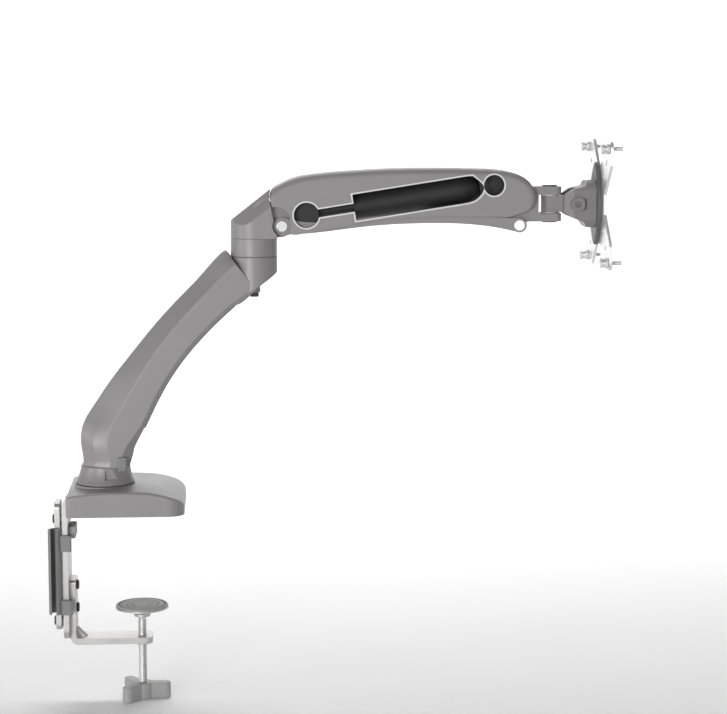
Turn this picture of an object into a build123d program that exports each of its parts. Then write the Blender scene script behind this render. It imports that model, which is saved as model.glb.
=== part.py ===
from build123d import *
from math import cos, hypot, radians, sin
import os

# A monitor arm that clamps to the edge of a desk.
# Frame: millimetres, +Z up, +X from the desk clamp towards the monitor, +Y across the arm.
# The origin is on the desk surface, on the swivel axis of the base.

os.makedirs("parts", exist_ok=True)

# ---------------------------------------------------------------- driving dimensions
# base
BASE_LEFT = -32.0
BASE_RIGHT = 71.8
BASE_HALF = 50.0
BASE_WALL = 3.5
SEAT_Z = 23.0
SEAT_R = 27.5
PAD_THICK = 1.5
PLATE_THICK = 4.0
BRACKET_THICK = 5.0
# swivel posts, shared by the base and the elbow
POST_R = 10.0
RUNNING = 0.05
BUSH_R = 13.0
GAP = 0.3
# desk clamp
UPRIGHT_X = -38.0
UPRIGHT_HALF = 20.0
UPRIGHT_BOTTOM = -118.0
RAIL_X = -45.4
RAIL_HALF = 13.0
JAW_X = 41.0
JAW_TOP = -118.5
JAW_THICK = 5.5
JAW_HALF = 13.0
SCREW_X = 31.5
SCREW_R = 4.0
PAD_TOP = -90.0
PAD_R = 24.0
KNOB_TOP = -163.0
KNOB_BOTTOM = -178.0
# cable holder
TUBE_X = -44.5
TUBE_Y = -21.0
TUBE_R = 6.1
TUBE_TOP = -15.4
TUBE_BOTTOM = -92.7
# elbow
ELBOW_X = 135.5
ELBOW_R = 20.7
SOCKET_TOP = 226.4
RING_TOP = 243.2
# four-bar lift: two pins at the rear, two at the front, the same offset at both ends
REAR_LOW = (160.0, 254.0)
REAR_HIGH = (166.0, 278.0)
ARM_LENGTH = 212.0
FRONT_LOW = (REAR_LOW[0] + ARM_LENGTH, REAR_LOW[1])
FRONT_HIGH = (REAR_HIGH[0] + ARM_LENGTH, REAR_HIGH[1])
PIN_R = 4.0
SHELL_HALF = 20.4
SHELL_INNER = 16.7
LINK_HALF = 15.8
LINK_INNER = 13.1
CORE_HALF = 12.4
# gas spring, from its anchor on the elbow to its mount in the arm
ANCHOR = (181.7, 263.8)
MOUNT = (348.4, 289.8)
SPRING_R = 12.0
ANCHOR_CAP_R = 11.2
ROD_R = 5.0
# head
FORK_END = 410.6
FORK_BOTTOM = 257.0
FORK_TOP = 288.0
FORK_EAR = 7.2
FORK_HALF = 12.0
HEAD_Z = 272.5
PAN_X = 401.0
TILT_X = 424.0
ROTATE_X = 441.0
VESA_X = 445.5
VESA_THICK = 2.6
VESA_HALF = 57.0


def save(piece, name):
    """Label a finished piece and write it to its own file."""
    piece.part.label = name
    export_step(piece.part, f"parts/{name}.step")


def cut_bores(centres, radius, half):
    """Cut round holes right through the piece along Y."""
    with BuildSketch(Plane.XZ) as bores:
        with Locations(*centres):
            Circle(radius)
    extrude(bores.sketch, amount=half, both=True, mode=Mode.SUBTRACT)


# ---------------------------------------------------------------- base, fixed to the desk
PLATE_Z = PAD_THICK
TONGUE_Z = PLATE_Z + PLATE_THICK
FLANGE_Z = TONGUE_Z + BRACKET_THICK
FLANGE_THICK = 4.0
FLANGE_R = 20.0
POST_TOP = 61.5
HOUSING_BOSSES = [(-20, -37), (-20, 37), (48, -37), (48, 37)]
POST_SCREWS = [(-10.5, -10.5), (-10.5, 10.5), (10.5, -10.5), (10.5, 10.5)]


def base_outline(inset):
    """Side outline of the base: an arched top that falls to a rounded front."""
    with BuildSketch(Plane.XZ) as outline:
        with BuildLine():
            top = Spline(
                (BASE_LEFT + inset, 19.2 - inset),
                (-6, 21.9 - inset),
                (20, 22.6 - inset),
                (44, 21.3 - inset),
                (62 - inset * 0.4, 16.8 - inset),
                (BASE_RIGHT - inset, 7.0),
                tangents=[(1, 0.12), (0, -1)],
            )
            Polyline(top @ 1, (BASE_RIGHT - inset, 0.5), (BASE_LEFT + inset, 0.5), top @ 0)
        make_face()
    return outline.sketch


def base_plan(inset, height):
    """Plan outline of the base: square at the desk's edge, rounded at the front."""
    middle = (BASE_LEFT + BASE_RIGHT) / 2
    length = BASE_RIGHT - BASE_LEFT - 2 * inset
    with BuildSketch(Plane.XY) as plan:
        with Locations((middle, 0)):
            Rectangle(length, 2 * (BASE_HALF - inset))
        front = vertices().group_by(Axis.X)[-1]
        fillet(front, radius=14 - inset)
        rear = vertices().group_by(Axis.X)[0]
        fillet(rear, radius=4.0)
    extrude(plan.sketch, amount=height, mode=Mode.INTERSECT)


with BuildPart() as base_hollow:
    extrude(base_outline(BASE_WALL), amount=BASE_HALF, both=True)
    base_plan(BASE_WALL, 40)

with BuildPart() as base_housing:
    extrude(base_outline(0), amount=BASE_HALF, both=True)
    base_plan(0, 40)
    fillet(faces().sort_by(Axis.Z)[-1].edges(), radius=2.4)
    with BuildSketch(Plane.XY.offset(18)):
        Circle(SEAT_R)
    extrude(amount=SEAT_Z - 18)
    add(base_hollow.part, mode=Mode.SUBTRACT)
    with BuildSketch(Plane.XY.offset(TONGUE_Z)):
        with Locations(*HOUSING_BOSSES):
            Circle(4.5)
    extrude(amount=12)
    with BuildSketch(Plane.XY.offset(TONGUE_Z)):
        with Locations(*HOUSING_BOSSES):
            Circle(1.75)
    extrude(amount=9, mode=Mode.SUBTRACT)
    with BuildSketch(Plane.XY.offset(FLANGE_Z)):
        Circle(POST_R + 0.6)
    extrude(amount=20, mode=Mode.SUBTRACT)
    with BuildSketch(Plane.YZ.offset(BASE_LEFT - 1)):
        with Locations((0, (FLANGE_Z + 0.4) / 2)):
            Rectangle(2 * UPRIGHT_HALF + 0.6, FLANGE_Z + 0.4)
    extrude(amount=BASE_WALL + 2, mode=Mode.SUBTRACT)
save(base_housing, "base_housing")


def base_slab(inset, z, thick):
    """A flat slab that fits inside the base housing."""
    left = BASE_LEFT + inset
    right = BASE_RIGHT - inset
    with BuildSketch(Plane.XY.offset(z)) as slab:
        with Locations(((left + right) / 2, 0)):
            RectangleRounded(right - left, 2 * (BASE_HALF - inset), 9)
    extrude(slab.sketch, amount=thick)


with BuildPart() as base_foam_pad:
    base_slab(5.0, 0, PAD_THICK)
save(base_foam_pad, "base_foam_pad")

with BuildPart() as base_plate:
    base_slab(4.0, PLATE_Z, PLATE_THICK)
    with BuildSketch(Plane.XY.offset(PLATE_Z)):
        with Locations(*POST_SCREWS):
            Circle(3.15)
        with Locations(*HOUSING_BOSSES):
            Circle(2.1)
    extrude(amount=PLATE_THICK, mode=Mode.SUBTRACT)
    with BuildSketch(Plane.XY.offset(PLATE_Z)):
        with Locations(*POST_SCREWS):
            Circle(5.6)
        with Locations(*HOUSING_BOSSES):
            Circle(3.6)
    extrude(amount=2.4, mode=Mode.SUBTRACT)
save(base_plate, "base_plate")


def screw_group(name, places, z, head_r, head_h, shank_r, length):
    """Identical screws standing on plane z, heads down, with a hexagon socket in each head."""
    with BuildPart() as screws:
        with BuildSketch(Plane.XY.offset(z)):
            with Locations(*places):
                Circle(head_r)
        extrude(amount=head_h)
        with BuildSketch(Plane.XY.offset(z + head_h)):
            with Locations(*places):
                Circle(shank_r)
        extrude(amount=length)
        with BuildSketch(Plane.XY.offset(z)):
            with Locations(*places):
                RegularPolygon(head_r * 0.45, 6)
        extrude(amount=head_h * 0.55, mode=Mode.SUBTRACT)
    save(screws, name)


screw_group("post_screws", POST_SCREWS, PLATE_Z, 5.4, 2.4, 3.0, 9.8)
screw_group("housing_screws", HOUSING_BOSSES, PLATE_Z, 3.4, 2.4, 1.6, 10.0)

with BuildPart() as swivel_post:
    with BuildSketch(Plane.XY.offset(FLANGE_Z)):
        Circle(FLANGE_R)
    extrude(amount=FLANGE_THICK)
    with BuildSketch(Plane.XY.offset(FLANGE_Z + FLANGE_THICK)):
        Circle(POST_R)
    extrude(amount=POST_TOP - FLANGE_Z - FLANGE_THICK)
    chamfer(edges().filter_by(GeomType.CIRCLE).sort_by(Axis.Z)[-1], length=0.8)
    with BuildSketch(Plane.XY.offset(POST_TOP)):
        Circle(3.0)
    extrude(amount=-14, mode=Mode.SUBTRACT)
    with BuildSketch(Plane.XY.offset(FLANGE_Z)):
        with Locations(*POST_SCREWS):
            Circle(3.15)
    extrude(amount=3.5, mode=Mode.SUBTRACT)
save(swivel_post, "swivel_post")

with BuildPart() as swivel_washer:
    with BuildSketch(Plane.XY.offset(POST_TOP)):
        Circle(12.3)
        Circle(3.2, mode=Mode.SUBTRACT)
    extrude(amount=1.8)
save(swivel_washer, "swivel_washer")

with BuildPart() as swivel_bolt:
    with BuildSketch(Plane.XY.offset(POST_TOP + 1.8)):
        RegularPolygon(5.6, 6)
    extrude(amount=4.2)
    with BuildSketch(Plane.XY.offset(POST_TOP + 1.8)):
        Circle(2.9)
    extrude(amount=-14)
save(swivel_bolt, "swivel_bolt")

# ---------------------------------------------------------------- desk clamp, fixed
UPRIGHT_INNER = UPRIGHT_X + BRACKET_THICK
RAIL_TOP = 6.8
RAIL_BOTTOM = -110.4
RAIL_THICK = 5.0
RAIL_BOLTS = [-10, -104]
JAW_LEG_TOP = -64.6
JAW_BOLTS = [-71.0, -92.0]
JAW_LEG_X = UPRIGHT_INNER + JAW_THICK


def bar_ends(half, low, high, x, thick, corner):
    """A flat vertical bar with rounded ends, its broad face across X."""
    with BuildSketch(Plane.YZ.offset(x)) as bar:
        with Locations((0, (low + high) / 2)):
            RectangleRounded(2 * half, high - low, corner)
    extrude(bar.sketch, amount=thick)


def cut_cross_holes(heights, radius, x, depth):
    """Round holes along X at the given heights."""
    with BuildSketch(Plane.YZ.offset(x)) as holes:
        with Locations(*[(0, z) for z in heights]):
            Circle(radius)
    extrude(holes.sketch, amount=depth, mode=Mode.SUBTRACT)


with BuildPart() as clamp_upright:
    with BuildSketch(Plane.XZ):
        with BuildLine():
            Polyline(
                (60, FLANGE_Z),
                (UPRIGHT_X, FLANGE_Z),
                (UPRIGHT_X, UPRIGHT_BOTTOM),
                (UPRIGHT_INNER, UPRIGHT_BOTTOM),
                (UPRIGHT_INNER, TONGUE_Z),
                (60, TONGUE_Z),
                close=True,
            )
        make_face()
        fillet(vertices().sort_by_distance((UPRIGHT_X, FLANGE_Z))[0], radius=6.5)
        bend = vertices().sort_by_distance((UPRIGHT_INNER, TONGUE_Z))[0]
        fillet(bend, radius=1.5)
    extrude(amount=UPRIGHT_HALF, both=True)
    low = edges().filter_by(Axis.X).group_by(Axis.Z)[0]
    fillet(low, radius=9)
    with BuildSketch(Plane.XY.offset(TONGUE_Z)):
        with Locations(*POST_SCREWS):
            Circle(3.15)
    extrude(amount=BRACKET_THICK, mode=Mode.SUBTRACT)
    cut_cross_holes(RAIL_BOLTS + JAW_BOLTS, 2.65, UPRIGHT_X - 1, BRACKET_THICK + 2)
save(clamp_upright, "clamp_upright")

with BuildPart() as clamp_rail:
    bar_ends(RAIL_HALF, RAIL_BOTTOM, RAIL_TOP, RAIL_X, RAIL_THICK, 5.5)
    fillet(edges().group_by(Axis.X)[0], radius=1.0)
    cut_cross_holes(RAIL_BOLTS, 2.65, RAIL_X - 1, RAIL_THICK + 2)
save(clamp_rail, "clamp_rail")

with BuildPart() as rail_spacers:
    with BuildSketch(Plane.YZ.offset(RAIL_X + RAIL_THICK)):
        with Locations(*[(0, z) for z in RAIL_BOLTS]):
            Circle(6)
            Circle(2.65, mode=Mode.SUBTRACT)
    extrude(amount=UPRIGHT_X - RAIL_X - RAIL_THICK)
save(rail_spacers, "rail_spacers")


def cross_screws(name, heights, x_head, head_h, shank_end, direction):
    """Button-head screws along X; direction is +1 when the shank runs towards +X."""
    with BuildPart() as screws:
        with BuildSketch(Plane.YZ.offset(x_head)):
            with Locations(*[(0, z) for z in heights]):
                Circle(4.4)
        extrude(amount=direction * head_h)
        with BuildSketch(Plane.YZ.offset(x_head + direction * head_h)):
            with Locations(*[(0, z) for z in heights]):
                Circle(2.5)
        extrude(amount=shank_end - x_head - direction * head_h)
        rim = edges().filter_by(GeomType.CIRCLE).filter_by(lambda e: abs(e.center().X - x_head) < 0.01)
        fillet(rim, radius=1.2)
        with BuildSketch(Plane.YZ.offset(x_head)):
            with Locations(*[(0, z) for z in heights]):
                RegularPolygon(1.8, 6)
        extrude(amount=direction * head_h * 0.6, mode=Mode.SUBTRACT)
    save(screws, name)


cross_screws("rail_screws", RAIL_BOLTS, RAIL_X - 2.4, 2.4, UPRIGHT_INNER - 0.2, 1)
cross_screws("jaw_screws", JAW_BOLTS, JAW_LEG_X + 2.4, 2.4, UPRIGHT_X + 0.2, -1)

with BuildPart() as clamp_jaw:
    with BuildSketch(Plane.XZ):
        with BuildLine():
            Polyline(
                (UPRIGHT_INNER, JAW_LEG_TOP),
                (JAW_LEG_X, JAW_LEG_TOP),
                (JAW_LEG_X, JAW_TOP),
                (JAW_X, JAW_TOP),
                (JAW_X, JAW_TOP - JAW_THICK),
                (UPRIGHT_INNER, JAW_TOP - JAW_THICK),
                close=True,
            )
        make_face()
        fillet(vertices().sort_by_distance((JAW_LEG_X, JAW_TOP))[0], radius=3.0)
        fillet(vertices().sort_by_distance((UPRIGHT_INNER, JAW_TOP - JAW_THICK))[0], radius=8.0)
    extrude(amount=JAW_HALF, both=True)
    fillet(edges().filter_by(Axis.Z).group_by(Axis.X)[-1], radius=5.0)
    fillet(edges().filter_by(Axis.X).group_by(Axis.Z)[-1], radius=3.0)
    with BuildSketch(Plane.XZ):
        Polygon(
            (JAW_LEG_X - 1, JAW_TOP + 11),
            (JAW_LEG_X - 1, JAW_TOP - 1),
            (JAW_LEG_X + 11, JAW_TOP - 1),
            align=None,
        )
    extrude(amount=4.0, both=True)
    gusset = edges().filter_by(lambda e: e.geom_type == GeomType.LINE and abs(abs(e.center().Y) - 4) < 0.01)
    slope = gusset.filter_by(lambda e: abs(e.tangent_at(0).X) > 0.3 and abs(e.tangent_at(0).Z) > 0.3)
    fillet(slope, radius=2.2)
    with BuildSketch(Plane.XY.offset(JAW_TOP)):
        with Locations((SCREW_X, 0)):
            Circle(7.0)
    extrude(amount=-JAW_THICK, mode=Mode.SUBTRACT)
    cut_cross_holes(JAW_BOLTS, 2.65, UPRIGHT_INNER - 1, JAW_THICK + 2)
save(clamp_jaw, "clamp_jaw")

with BuildPart() as jaw_nut:
    with BuildSketch(Plane.XY.offset(JAW_TOP)):
        with Locations((SCREW_X, 0)):
            Circle(7.0)
    extrude(amount=-JAW_THICK)
    with BuildSketch(Plane.XY.offset(JAW_TOP - JAW_THICK)):
        with Locations((SCREW_X, 0)):
            Circle(6.2)
    extrude(amount=-3.0)
    with BuildSketch(Plane.XY.offset(JAW_TOP)):
        with Locations((SCREW_X, 0)):
            Circle(SCREW_R + RUNNING)
    extrude(amount=-JAW_THICK - 3, mode=Mode.SUBTRACT)
save(jaw_nut, "jaw_nut")

with BuildPart() as edge_bumper:
    with BuildSketch(Plane.YZ.offset(UPRIGHT_INNER)):
        with Locations((0, -20.5)):
            RectangleRounded(26, 11, 3)
    extrude(amount=6.2)
    fillet(edges().group_by(Axis.X)[-1], radius=1.6)
save(edge_bumper, "edge_bumper")

# ---------------------------------------------------------------- cable holder on the clamp
CLIP_X = -29.5
CLIP_Y = -21.0
CLIPS = [(-35.0, -20.7), (-93.0, -79.9)]

with BuildPart() as cable_holder:
    with BuildSketch(Plane.XY.offset(TUBE_BOTTOM)):
        with Locations((TUBE_X, TUBE_Y)):
            Circle(TUBE_R)
            Circle(TUBE_R - 1.5, mode=Mode.SUBTRACT)
        with Locations((TUBE_X - 1.0, TUBE_Y - TUBE_R)):
            Rectangle(4.4, 6, mode=Mode.SUBTRACT)
    extrude(amount=TUBE_TOP - TUBE_BOTTOM)
save(cable_holder, "cable_holder")

with BuildPart() as holder_clips:
    for low, high in CLIPS:
        with BuildSketch(Plane.XY.offset(low)):
            with Locations((-34.0, -23.4)):
                RectangleRounded(9.0, 6.2, 1.2)
            with Locations((TUBE_X + TUBE_R + 0.6, -22.4)):
                Rectangle(3.4, 4.0)
            with Locations((TUBE_X, TUBE_Y)):
                Circle(TUBE_R + 0.02, mode=Mode.SUBTRACT)
        extrude(amount=high - low)
save(holder_clips, "cable_holder_clips")

# ---------------------------------------------------------------- clamp pad, screw and knob
BALL_Z = -98.6
BALL_R = 4.6

with BuildPart() as clamp_pad:
    with BuildSketch(Plane.XZ):
        with BuildLine():
            Polyline(
                (SCREW_X, -91.6),
                (SCREW_X + PAD_R, -91.6),
                (SCREW_X + PAD_R, -93.2),
                (SCREW_X + 16, -95.2),
                (SCREW_X + 7.4, -98.6),
                (SCREW_X + 7.4, -101.0),
                (SCREW_X, -101.0),
                close=True,
            )
        make_face()
    revolve(axis=Axis((SCREW_X, 0, 0), (0, 0, 1)))
    with Locations((SCREW_X, 0, BALL_Z)):
        Sphere(BALL_R + RUNNING, mode=Mode.SUBTRACT)
    with BuildSketch(Plane.XY.offset(BALL_Z)):
        with Locations((SCREW_X, 0)):
            Circle(4.4)
    extrude(amount=-4, mode=Mode.SUBTRACT)
save(clamp_pad, "clamp_pad")

with BuildPart() as pad_rubber:
    with BuildSketch(Plane.XY.offset(-91.6)):
        with Locations((SCREW_X, 0)):
            Circle(PAD_R - 0.6)
    extrude(amount=1.6)
    fillet(edges().group_by(Axis.Z)[-1], radius=0.5)
save(pad_rubber, "pad_rubber")

with BuildPart() as clamp_screw:
    with Locations((SCREW_X, 0, BALL_Z)):
        Sphere(BALL_R)
    with BuildSketch(Plane.XY.offset(KNOB_TOP)):
        with Locations((SCREW_X, 0)):
            Circle(SCREW_R)
    extrude(amount=BALL_Z - 4 - KNOB_TOP)
    with BuildSketch(Plane.XY.offset(BALL_Z - 4.4)):
        with Locations((SCREW_X, 0)):
            Circle(3.4)
    extrude(amount=3)
save(clamp_screw, "clamp_screw")

with BuildPart() as clamp_knob:
    with BuildSketch(Plane.XY.offset(KNOB_BOTTOM)):
        with Locations((SCREW_X, 0)):
            Circle(9.0)
        for angle in (0, 130, 230):
            with BuildLine():
                reach = Line(
                    (SCREW_X, 0),
                    (SCREW_X + 20 * cos(radians(angle)), 20 * sin(radians(angle))),
                )
                offset(reach, amount=5.0, side=Side.BOTH)
            make_face()
        fillet(vertices(), radius=1.5)
    extrude(amount=KNOB_TOP - KNOB_BOTTOM)
    fillet(faces().sort_by(Axis.Z)[-1].edges(), radius=1.4)
    fillet(faces().sort_by(Axis.Z)[0].edges(), radius=1.4)
save(clamp_knob, "clamp_knob")

# ---------------------------------------------------------------- lower arm
# Each station: outer point, inner point, then half-widths and depths of the section.
# (outer x, z), (inner x, z), ridge half-width, shoulder depth, shoulder half-width,
# crease depth, inner corner depth, inner corner width
STATIONS = [
    ((-20.5, 39.5), (22.5, 39.5), 9.0, 11.5, 18.2, 25.0, 8.0, 7.0),
    ((-20.3, 58.0), (26.0, 52.0), 9.0, 11.5, 18.2, 25.0, 8.0, 7.0),
    ((-18.6, 77.0), (30.0, 62.0), 7.5, 12.0, 16.0, 24.5, 6.0, 6.0),
    ((-10.6, 91.0), (36.5, 74.5), 6.0, 11.0, 13.0, 23.0, 4.0, 4.0),
    ((4.0, 112.6), (46.5, 95.2), 6.0, 10.0, 13.0, 20.5, 3.5, 3.5),
    ((20.4, 134.0), (58.1, 116.2), 6.0, 8.5, 13.0, 17.5, 3.5, 3.5),
    ((42.0, 160.6), (72.0, 136.2), 6.0, 7.0, 13.0, 14.5, 3.5, 3.5),
    ((66.5, 187.8), (95.0, 162.2), 6.0, 6.5, 13.0, 13.5, 3.5, 3.5),
    ((90.0, 212.2), (118.0, 183.6), 6.0, 6.5, 13.0, 13.5, 3.5, 3.5),
    ((111.0, 231.4), (137.0, 197.6), 6.0, 6.5, 13.0, 13.5, 3.5, 3.5),
]
ARM_HALF = 20.3


def station_plane(outer, inner):
    """The plane of one section: local x runs inwards from the outer edge, local y is Y."""
    dx, dz = inner[0] - outer[0], inner[1] - outer[1]
    length = hypot(dx, dz)
    across = (dx / length, 0, dz / length)
    along = (-dz / length, 0, dx / length)
    return Plane((outer[0], 0, outer[1]), x_dir=across, z_dir=along), length


def arm_section(station, rounding=1.6):
    """One ten-sided section of the casting, with its corners rounded."""
    outer, inner, ridge, shoulder, shoulder_half, crease, cut_in, cut_w = station
    plane, length = station_plane(outer, inner)
    outline = [
        (0, ridge),
        (shoulder, shoulder_half),
        (crease, ARM_HALF),
        (length - cut_in, ARM_HALF),
        (length, ARM_HALF - cut_w),
    ]
    mirrored = [(x, -y) for x, y in reversed(outline)]
    with BuildSketch(plane) as section:
        Polygon(*(outline + mirrored), align=None)
        fillet(vertices(), radius=rounding)
    return section.sketch


def arm_strip(station, low, high, half):
    """A rectangle in a section, from depth low to depth high before the inner edge."""
    plane, length = station_plane(station[0], station[1])
    with BuildSketch(plane) as strip:
        with Locations((length - (low + high) / 2, 0)):
            Rectangle(high - low, 2 * half)
    return strip.sketch


with BuildPart() as cable_channel:
    loft([arm_strip(station, -6.0, 22.0, 11.5) for station in STATIONS[3:9]])

with BuildPart() as cover_seat:
    loft([arm_strip(station, -6.0, 2.0, 14.0) for station in STATIONS[3:9]])

SOCKET_CUT = [(100, 172.2), (156.4, 212.5), (170, 222.0), (170, 150), (100, 150)]

with BuildPart() as elbow_socket:
    with BuildSketch(Plane.XY.offset(180)):
        with Locations((ELBOW_X, 0)):
            Circle(ELBOW_R)
    extrude(amount=SOCKET_TOP - 180)
    with BuildSketch(Plane.XZ):
        Polygon(*SOCKET_CUT, align=None)
    extrude(amount=30, both=True, mode=Mode.SUBTRACT)
    fillet(edges().sort_by(Axis.Z)[0:2], radius=1.5)

with BuildPart() as above_socket:
    with BuildSketch(Plane.XY.offset(SOCKET_TOP)):
        with Locations((ELBOW_X, 0)):
            Circle(ELBOW_R + 0.3)
    extrude(amount=20)

with BuildPart() as lower_arm:
    loft([arm_section(station) for station in STATIONS])
    add(elbow_socket.part)
    with BuildSketch(Plane.XY.offset(185)):
        with Locations((ELBOW_X, 0)):
            Circle(5.5)
    extrude(amount=20)
    with BuildSketch(Plane.XY.offset(180)):
        with Locations((ELBOW_X, 0)):
            Circle(8)
    extrude(amount=14.2, mode=Mode.SUBTRACT)
    add(above_socket.part, mode=Mode.SUBTRACT)
    add(cable_channel.part, mode=Mode.SUBTRACT)
    add(cover_seat.part, mode=Mode.SUBTRACT)
    with BuildSketch(Plane.XY.offset(39)):
        Circle(BUSH_R)
    extrude(amount=31, mode=Mode.SUBTRACT)
    with BuildSketch(Plane.XY.offset(203)):
        with Locations((ELBOW_X, 0)):
            Circle(BUSH_R)
    extrude(amount=40, mode=Mode.SUBTRACT)
    with BuildSketch(Plane.XY.offset(190)):
        with Locations((ELBOW_X, 0)):
            Circle(3.3)
    extrude(amount=20, mode=Mode.SUBTRACT)
save(lower_arm, "lower_arm")

with BuildPart() as lower_arm_cover:
    loft([arm_strip(station, -1.0, 1.9, 13.8) for station in STATIONS[3:9]])
save(lower_arm_cover, "lower_arm_cable_cover")

with BuildPart() as swivel_collar:
    with BuildSketch(Plane.XY.offset(SEAT_Z + 0.4)):
        Circle(27.0)
    with BuildSketch(Plane.XY.offset(30.0)):
        with Locations((0.4, 0)):
            Circle(23.9)
    with BuildSketch(Plane.XY.offset(39.4)):
        with Locations((0.8, 0)):
            Circle(21.9)
    loft()
    fillet(edges().group_by(Axis.Z)[0], radius=1.0)
    with BuildSketch(Plane.XZ.offset(20.9)):
        with Locations((8.0, 33)):
            Rectangle(13, 8)
    extrude(amount=10, mode=Mode.SUBTRACT)
    with BuildSketch(Plane.XY.offset(20)):
        Circle(POST_R + 0.5)
    extrude(amount=30, mode=Mode.SUBTRACT)
save(swivel_collar, "swivel_collar")

with BuildPart() as cable_exit_clip:
    with BuildSketch(Plane.XY.offset(36.5)):
        with Locations((16.6, -17.6)):
            RectangleRounded(8.4, 8.4, 1.6, rotation=0)
    extrude(amount=12.5)
    fillet(edges().group_by(Axis.Z)[-1], radius=1.0)
    add(lower_arm.part, mode=Mode.SUBTRACT)
    add(swivel_collar.part, mode=Mode.SUBTRACT)
    with BuildSketch(Plane.XY.offset(30)):
        Circle(18)
    extrude(amount=40, mode=Mode.SUBTRACT)


def biggest(piece):
    """Keep only the largest solid of a piece that a cut may have split."""
    return piece.part.solids().sort_by(SortBy.VOLUME)[-1]


with BuildPart() as cable_exit:
    add(biggest(cable_exit_clip))
save(cable_exit, "cable_exit_clip")


def bushes(name, x, spans):
    """Plain bearing bushes in one node, on a vertical axis."""
    with BuildPart() as rings:
        for low, high in spans:
            with BuildSketch(Plane.XY.offset(low)):
                with Locations((x, 0)):
                    Circle(BUSH_R)
                    Circle(POST_R + RUNNING, mode=Mode.SUBTRACT)
            extrude(amount=high - low)
    save(rings, name)


bushes("swivel_bushes", 0.0, [(39.5, 49.0), (51.6, 61.1)])
bushes("elbow_bushes", ELBOW_X, [(204.6, 213.6), (216.8, 226.2)])

# ---------------------------------------------------------------- elbow, turning on the lower arm
ELBOW_POST_LOW = 204.0
SHELL_SWEEP = 16.9

with BuildPart() as elbow_post:
    with BuildSketch(Plane.XY.offset(ELBOW_POST_LOW)):
        with Locations((ELBOW_X, 0)):
            Circle(POST_R)
            Circle(3.0, mode=Mode.SUBTRACT)
    extrude(amount=256 - ELBOW_POST_LOW)
    chamfer(edges().group_by(Axis.Z)[0], length=0.6)
save(elbow_post, "elbow_post")

with BuildPart() as elbow_ring:
    with BuildSketch(Plane.XY.offset(SOCKET_TOP + GAP)):
        with Locations((ELBOW_X, 0)):
            Circle(ELBOW_R)
            Circle(POST_R, mode=Mode.SUBTRACT)
    extrude(amount=RING_TOP - SOCKET_TOP - GAP)
    rims = edges().filter_by(GeomType.CIRCLE).filter_by(lambda e: e.radius > ELBOW_R - 0.1)
    chamfer(rims, length=0.5)
save(elbow_ring, "elbow_ring")

with BuildPart() as elbow_bolt:
    with BuildSketch(Plane.XY.offset(190.2)):
        with Locations((ELBOW_X, 0)):
            Circle(4.0)
    extrude(amount=3.8)
    with BuildSketch(Plane.XY.offset(194.0)):
        with Locations((ELBOW_X, 0)):
            Circle(2.95)
    extrude(amount=24)
    with BuildSketch(Plane.XY.offset(190.2)):
        with Locations((ELBOW_X, 0)):
            RegularPolygon(2.2, 6)
    extrude(amount=2.2, mode=Mode.SUBTRACT)
save(elbow_bolt, "elbow_bolt")

with BuildPart() as elbow_core:
    with BuildSketch(Plane.XZ):
        with BuildLine():
            Polyline(
                (ELBOW_X, RING_TOP),
                (REAR_LOW[0] + 1, RING_TOP + 0.8),
                (ANCHOR[0] + 2, 252.8),
                (ANCHOR[0] + 11, 262),
                (ANCHOR[0] + 8, 272),
                (ANCHOR[0] - 2, 275.2),
                (REAR_HIGH[0] + 7, 283),
                (REAR_HIGH[0] - 2, 287),
                (ELBOW_X, 274.0),
                close=True,
            )
        make_face()
        fillet(vertices(), radius=3.5)
    extrude(amount=CORE_HALF, both=True)
    with BuildSketch(Plane.XZ):
        with Locations(ANCHOR):
            Circle(16.5)
    extrude(amount=7.2, both=True, mode=Mode.SUBTRACT)
    with BuildSketch(Plane.XZ):
        Polygon((176, 240), (200, 240), (200, 290), (176, 285), align=None)
    extrude(amount=7.2, both=True, mode=Mode.SUBTRACT)

with BuildPart() as elbow_head:
    with BuildSketch(Plane.XZ):
        Polygon(
            (114.8, RING_TOP),
            (114.8, 258.6),
            (150.4, 286.6),
            (149.2, 282.0),
            (150.6, 268.0),
            (156.0, RING_TOP),
            align=None,
        )
    extrude(amount=ELBOW_R, both=True)
    with BuildSketch(Plane.XY.offset(RING_TOP)):
        with Locations((ELBOW_X, 0)):
            Circle(ELBOW_R)
        with Locations((ELBOW_X + 20, 0)):
            Rectangle(40, 2 * ELBOW_R)
    extrude(amount=60, mode=Mode.INTERSECT)

with BuildPart() as head_bevels:
    for flip in (1, -1):
        with BuildSketch(Plane.YZ.offset(100)):
            Polygon(
                (flip * 6.5, 258.6 - 11.4 + 1.5),
                (flip * 34, 258.6 - 11.4 + 1.5 - 32),
                (flip * 34, 330),
                (flip * 6.5, 330),
                align=None,
            )
        extrude(amount=90, dir=(0.786, 0, 0.618))

with BuildPart() as elbow_bracket:
    add(elbow_head.part)
    add(head_bevels.part, mode=Mode.SUBTRACT)
    with BuildSketch(Plane.XZ):
        with Locations(REAR_HIGH):
            Circle(SHELL_SWEEP)
        with Locations(REAR_LOW):
            Circle(8.4)
    extrude(amount=30, both=True, mode=Mode.SUBTRACT)
    add(elbow_core.part)
    with BuildSketch(Plane.XZ):
        with Locations(REAR_HIGH):
            Circle(SHELL_SWEEP)
            Circle(10.4, mode=Mode.SUBTRACT)
        with Locations((REAR_HIGH[0], REAR_HIGH[1] - 23)):
            Rectangle(60, 40, mode=Mode.SUBTRACT)
    extrude(amount=30, both=True, mode=Mode.SUBTRACT)
    with BuildSketch(Plane.XY.offset(RING_TOP - 1)):
        with Locations((ELBOW_X, 0)):
            Circle(POST_R)
    extrude(amount=256 - RING_TOP + 1, mode=Mode.SUBTRACT)
    cut_bores([REAR_LOW, REAR_HIGH, ANCHOR], PIN_R, 30)
save(elbow_bracket, "elbow_bracket")

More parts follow.
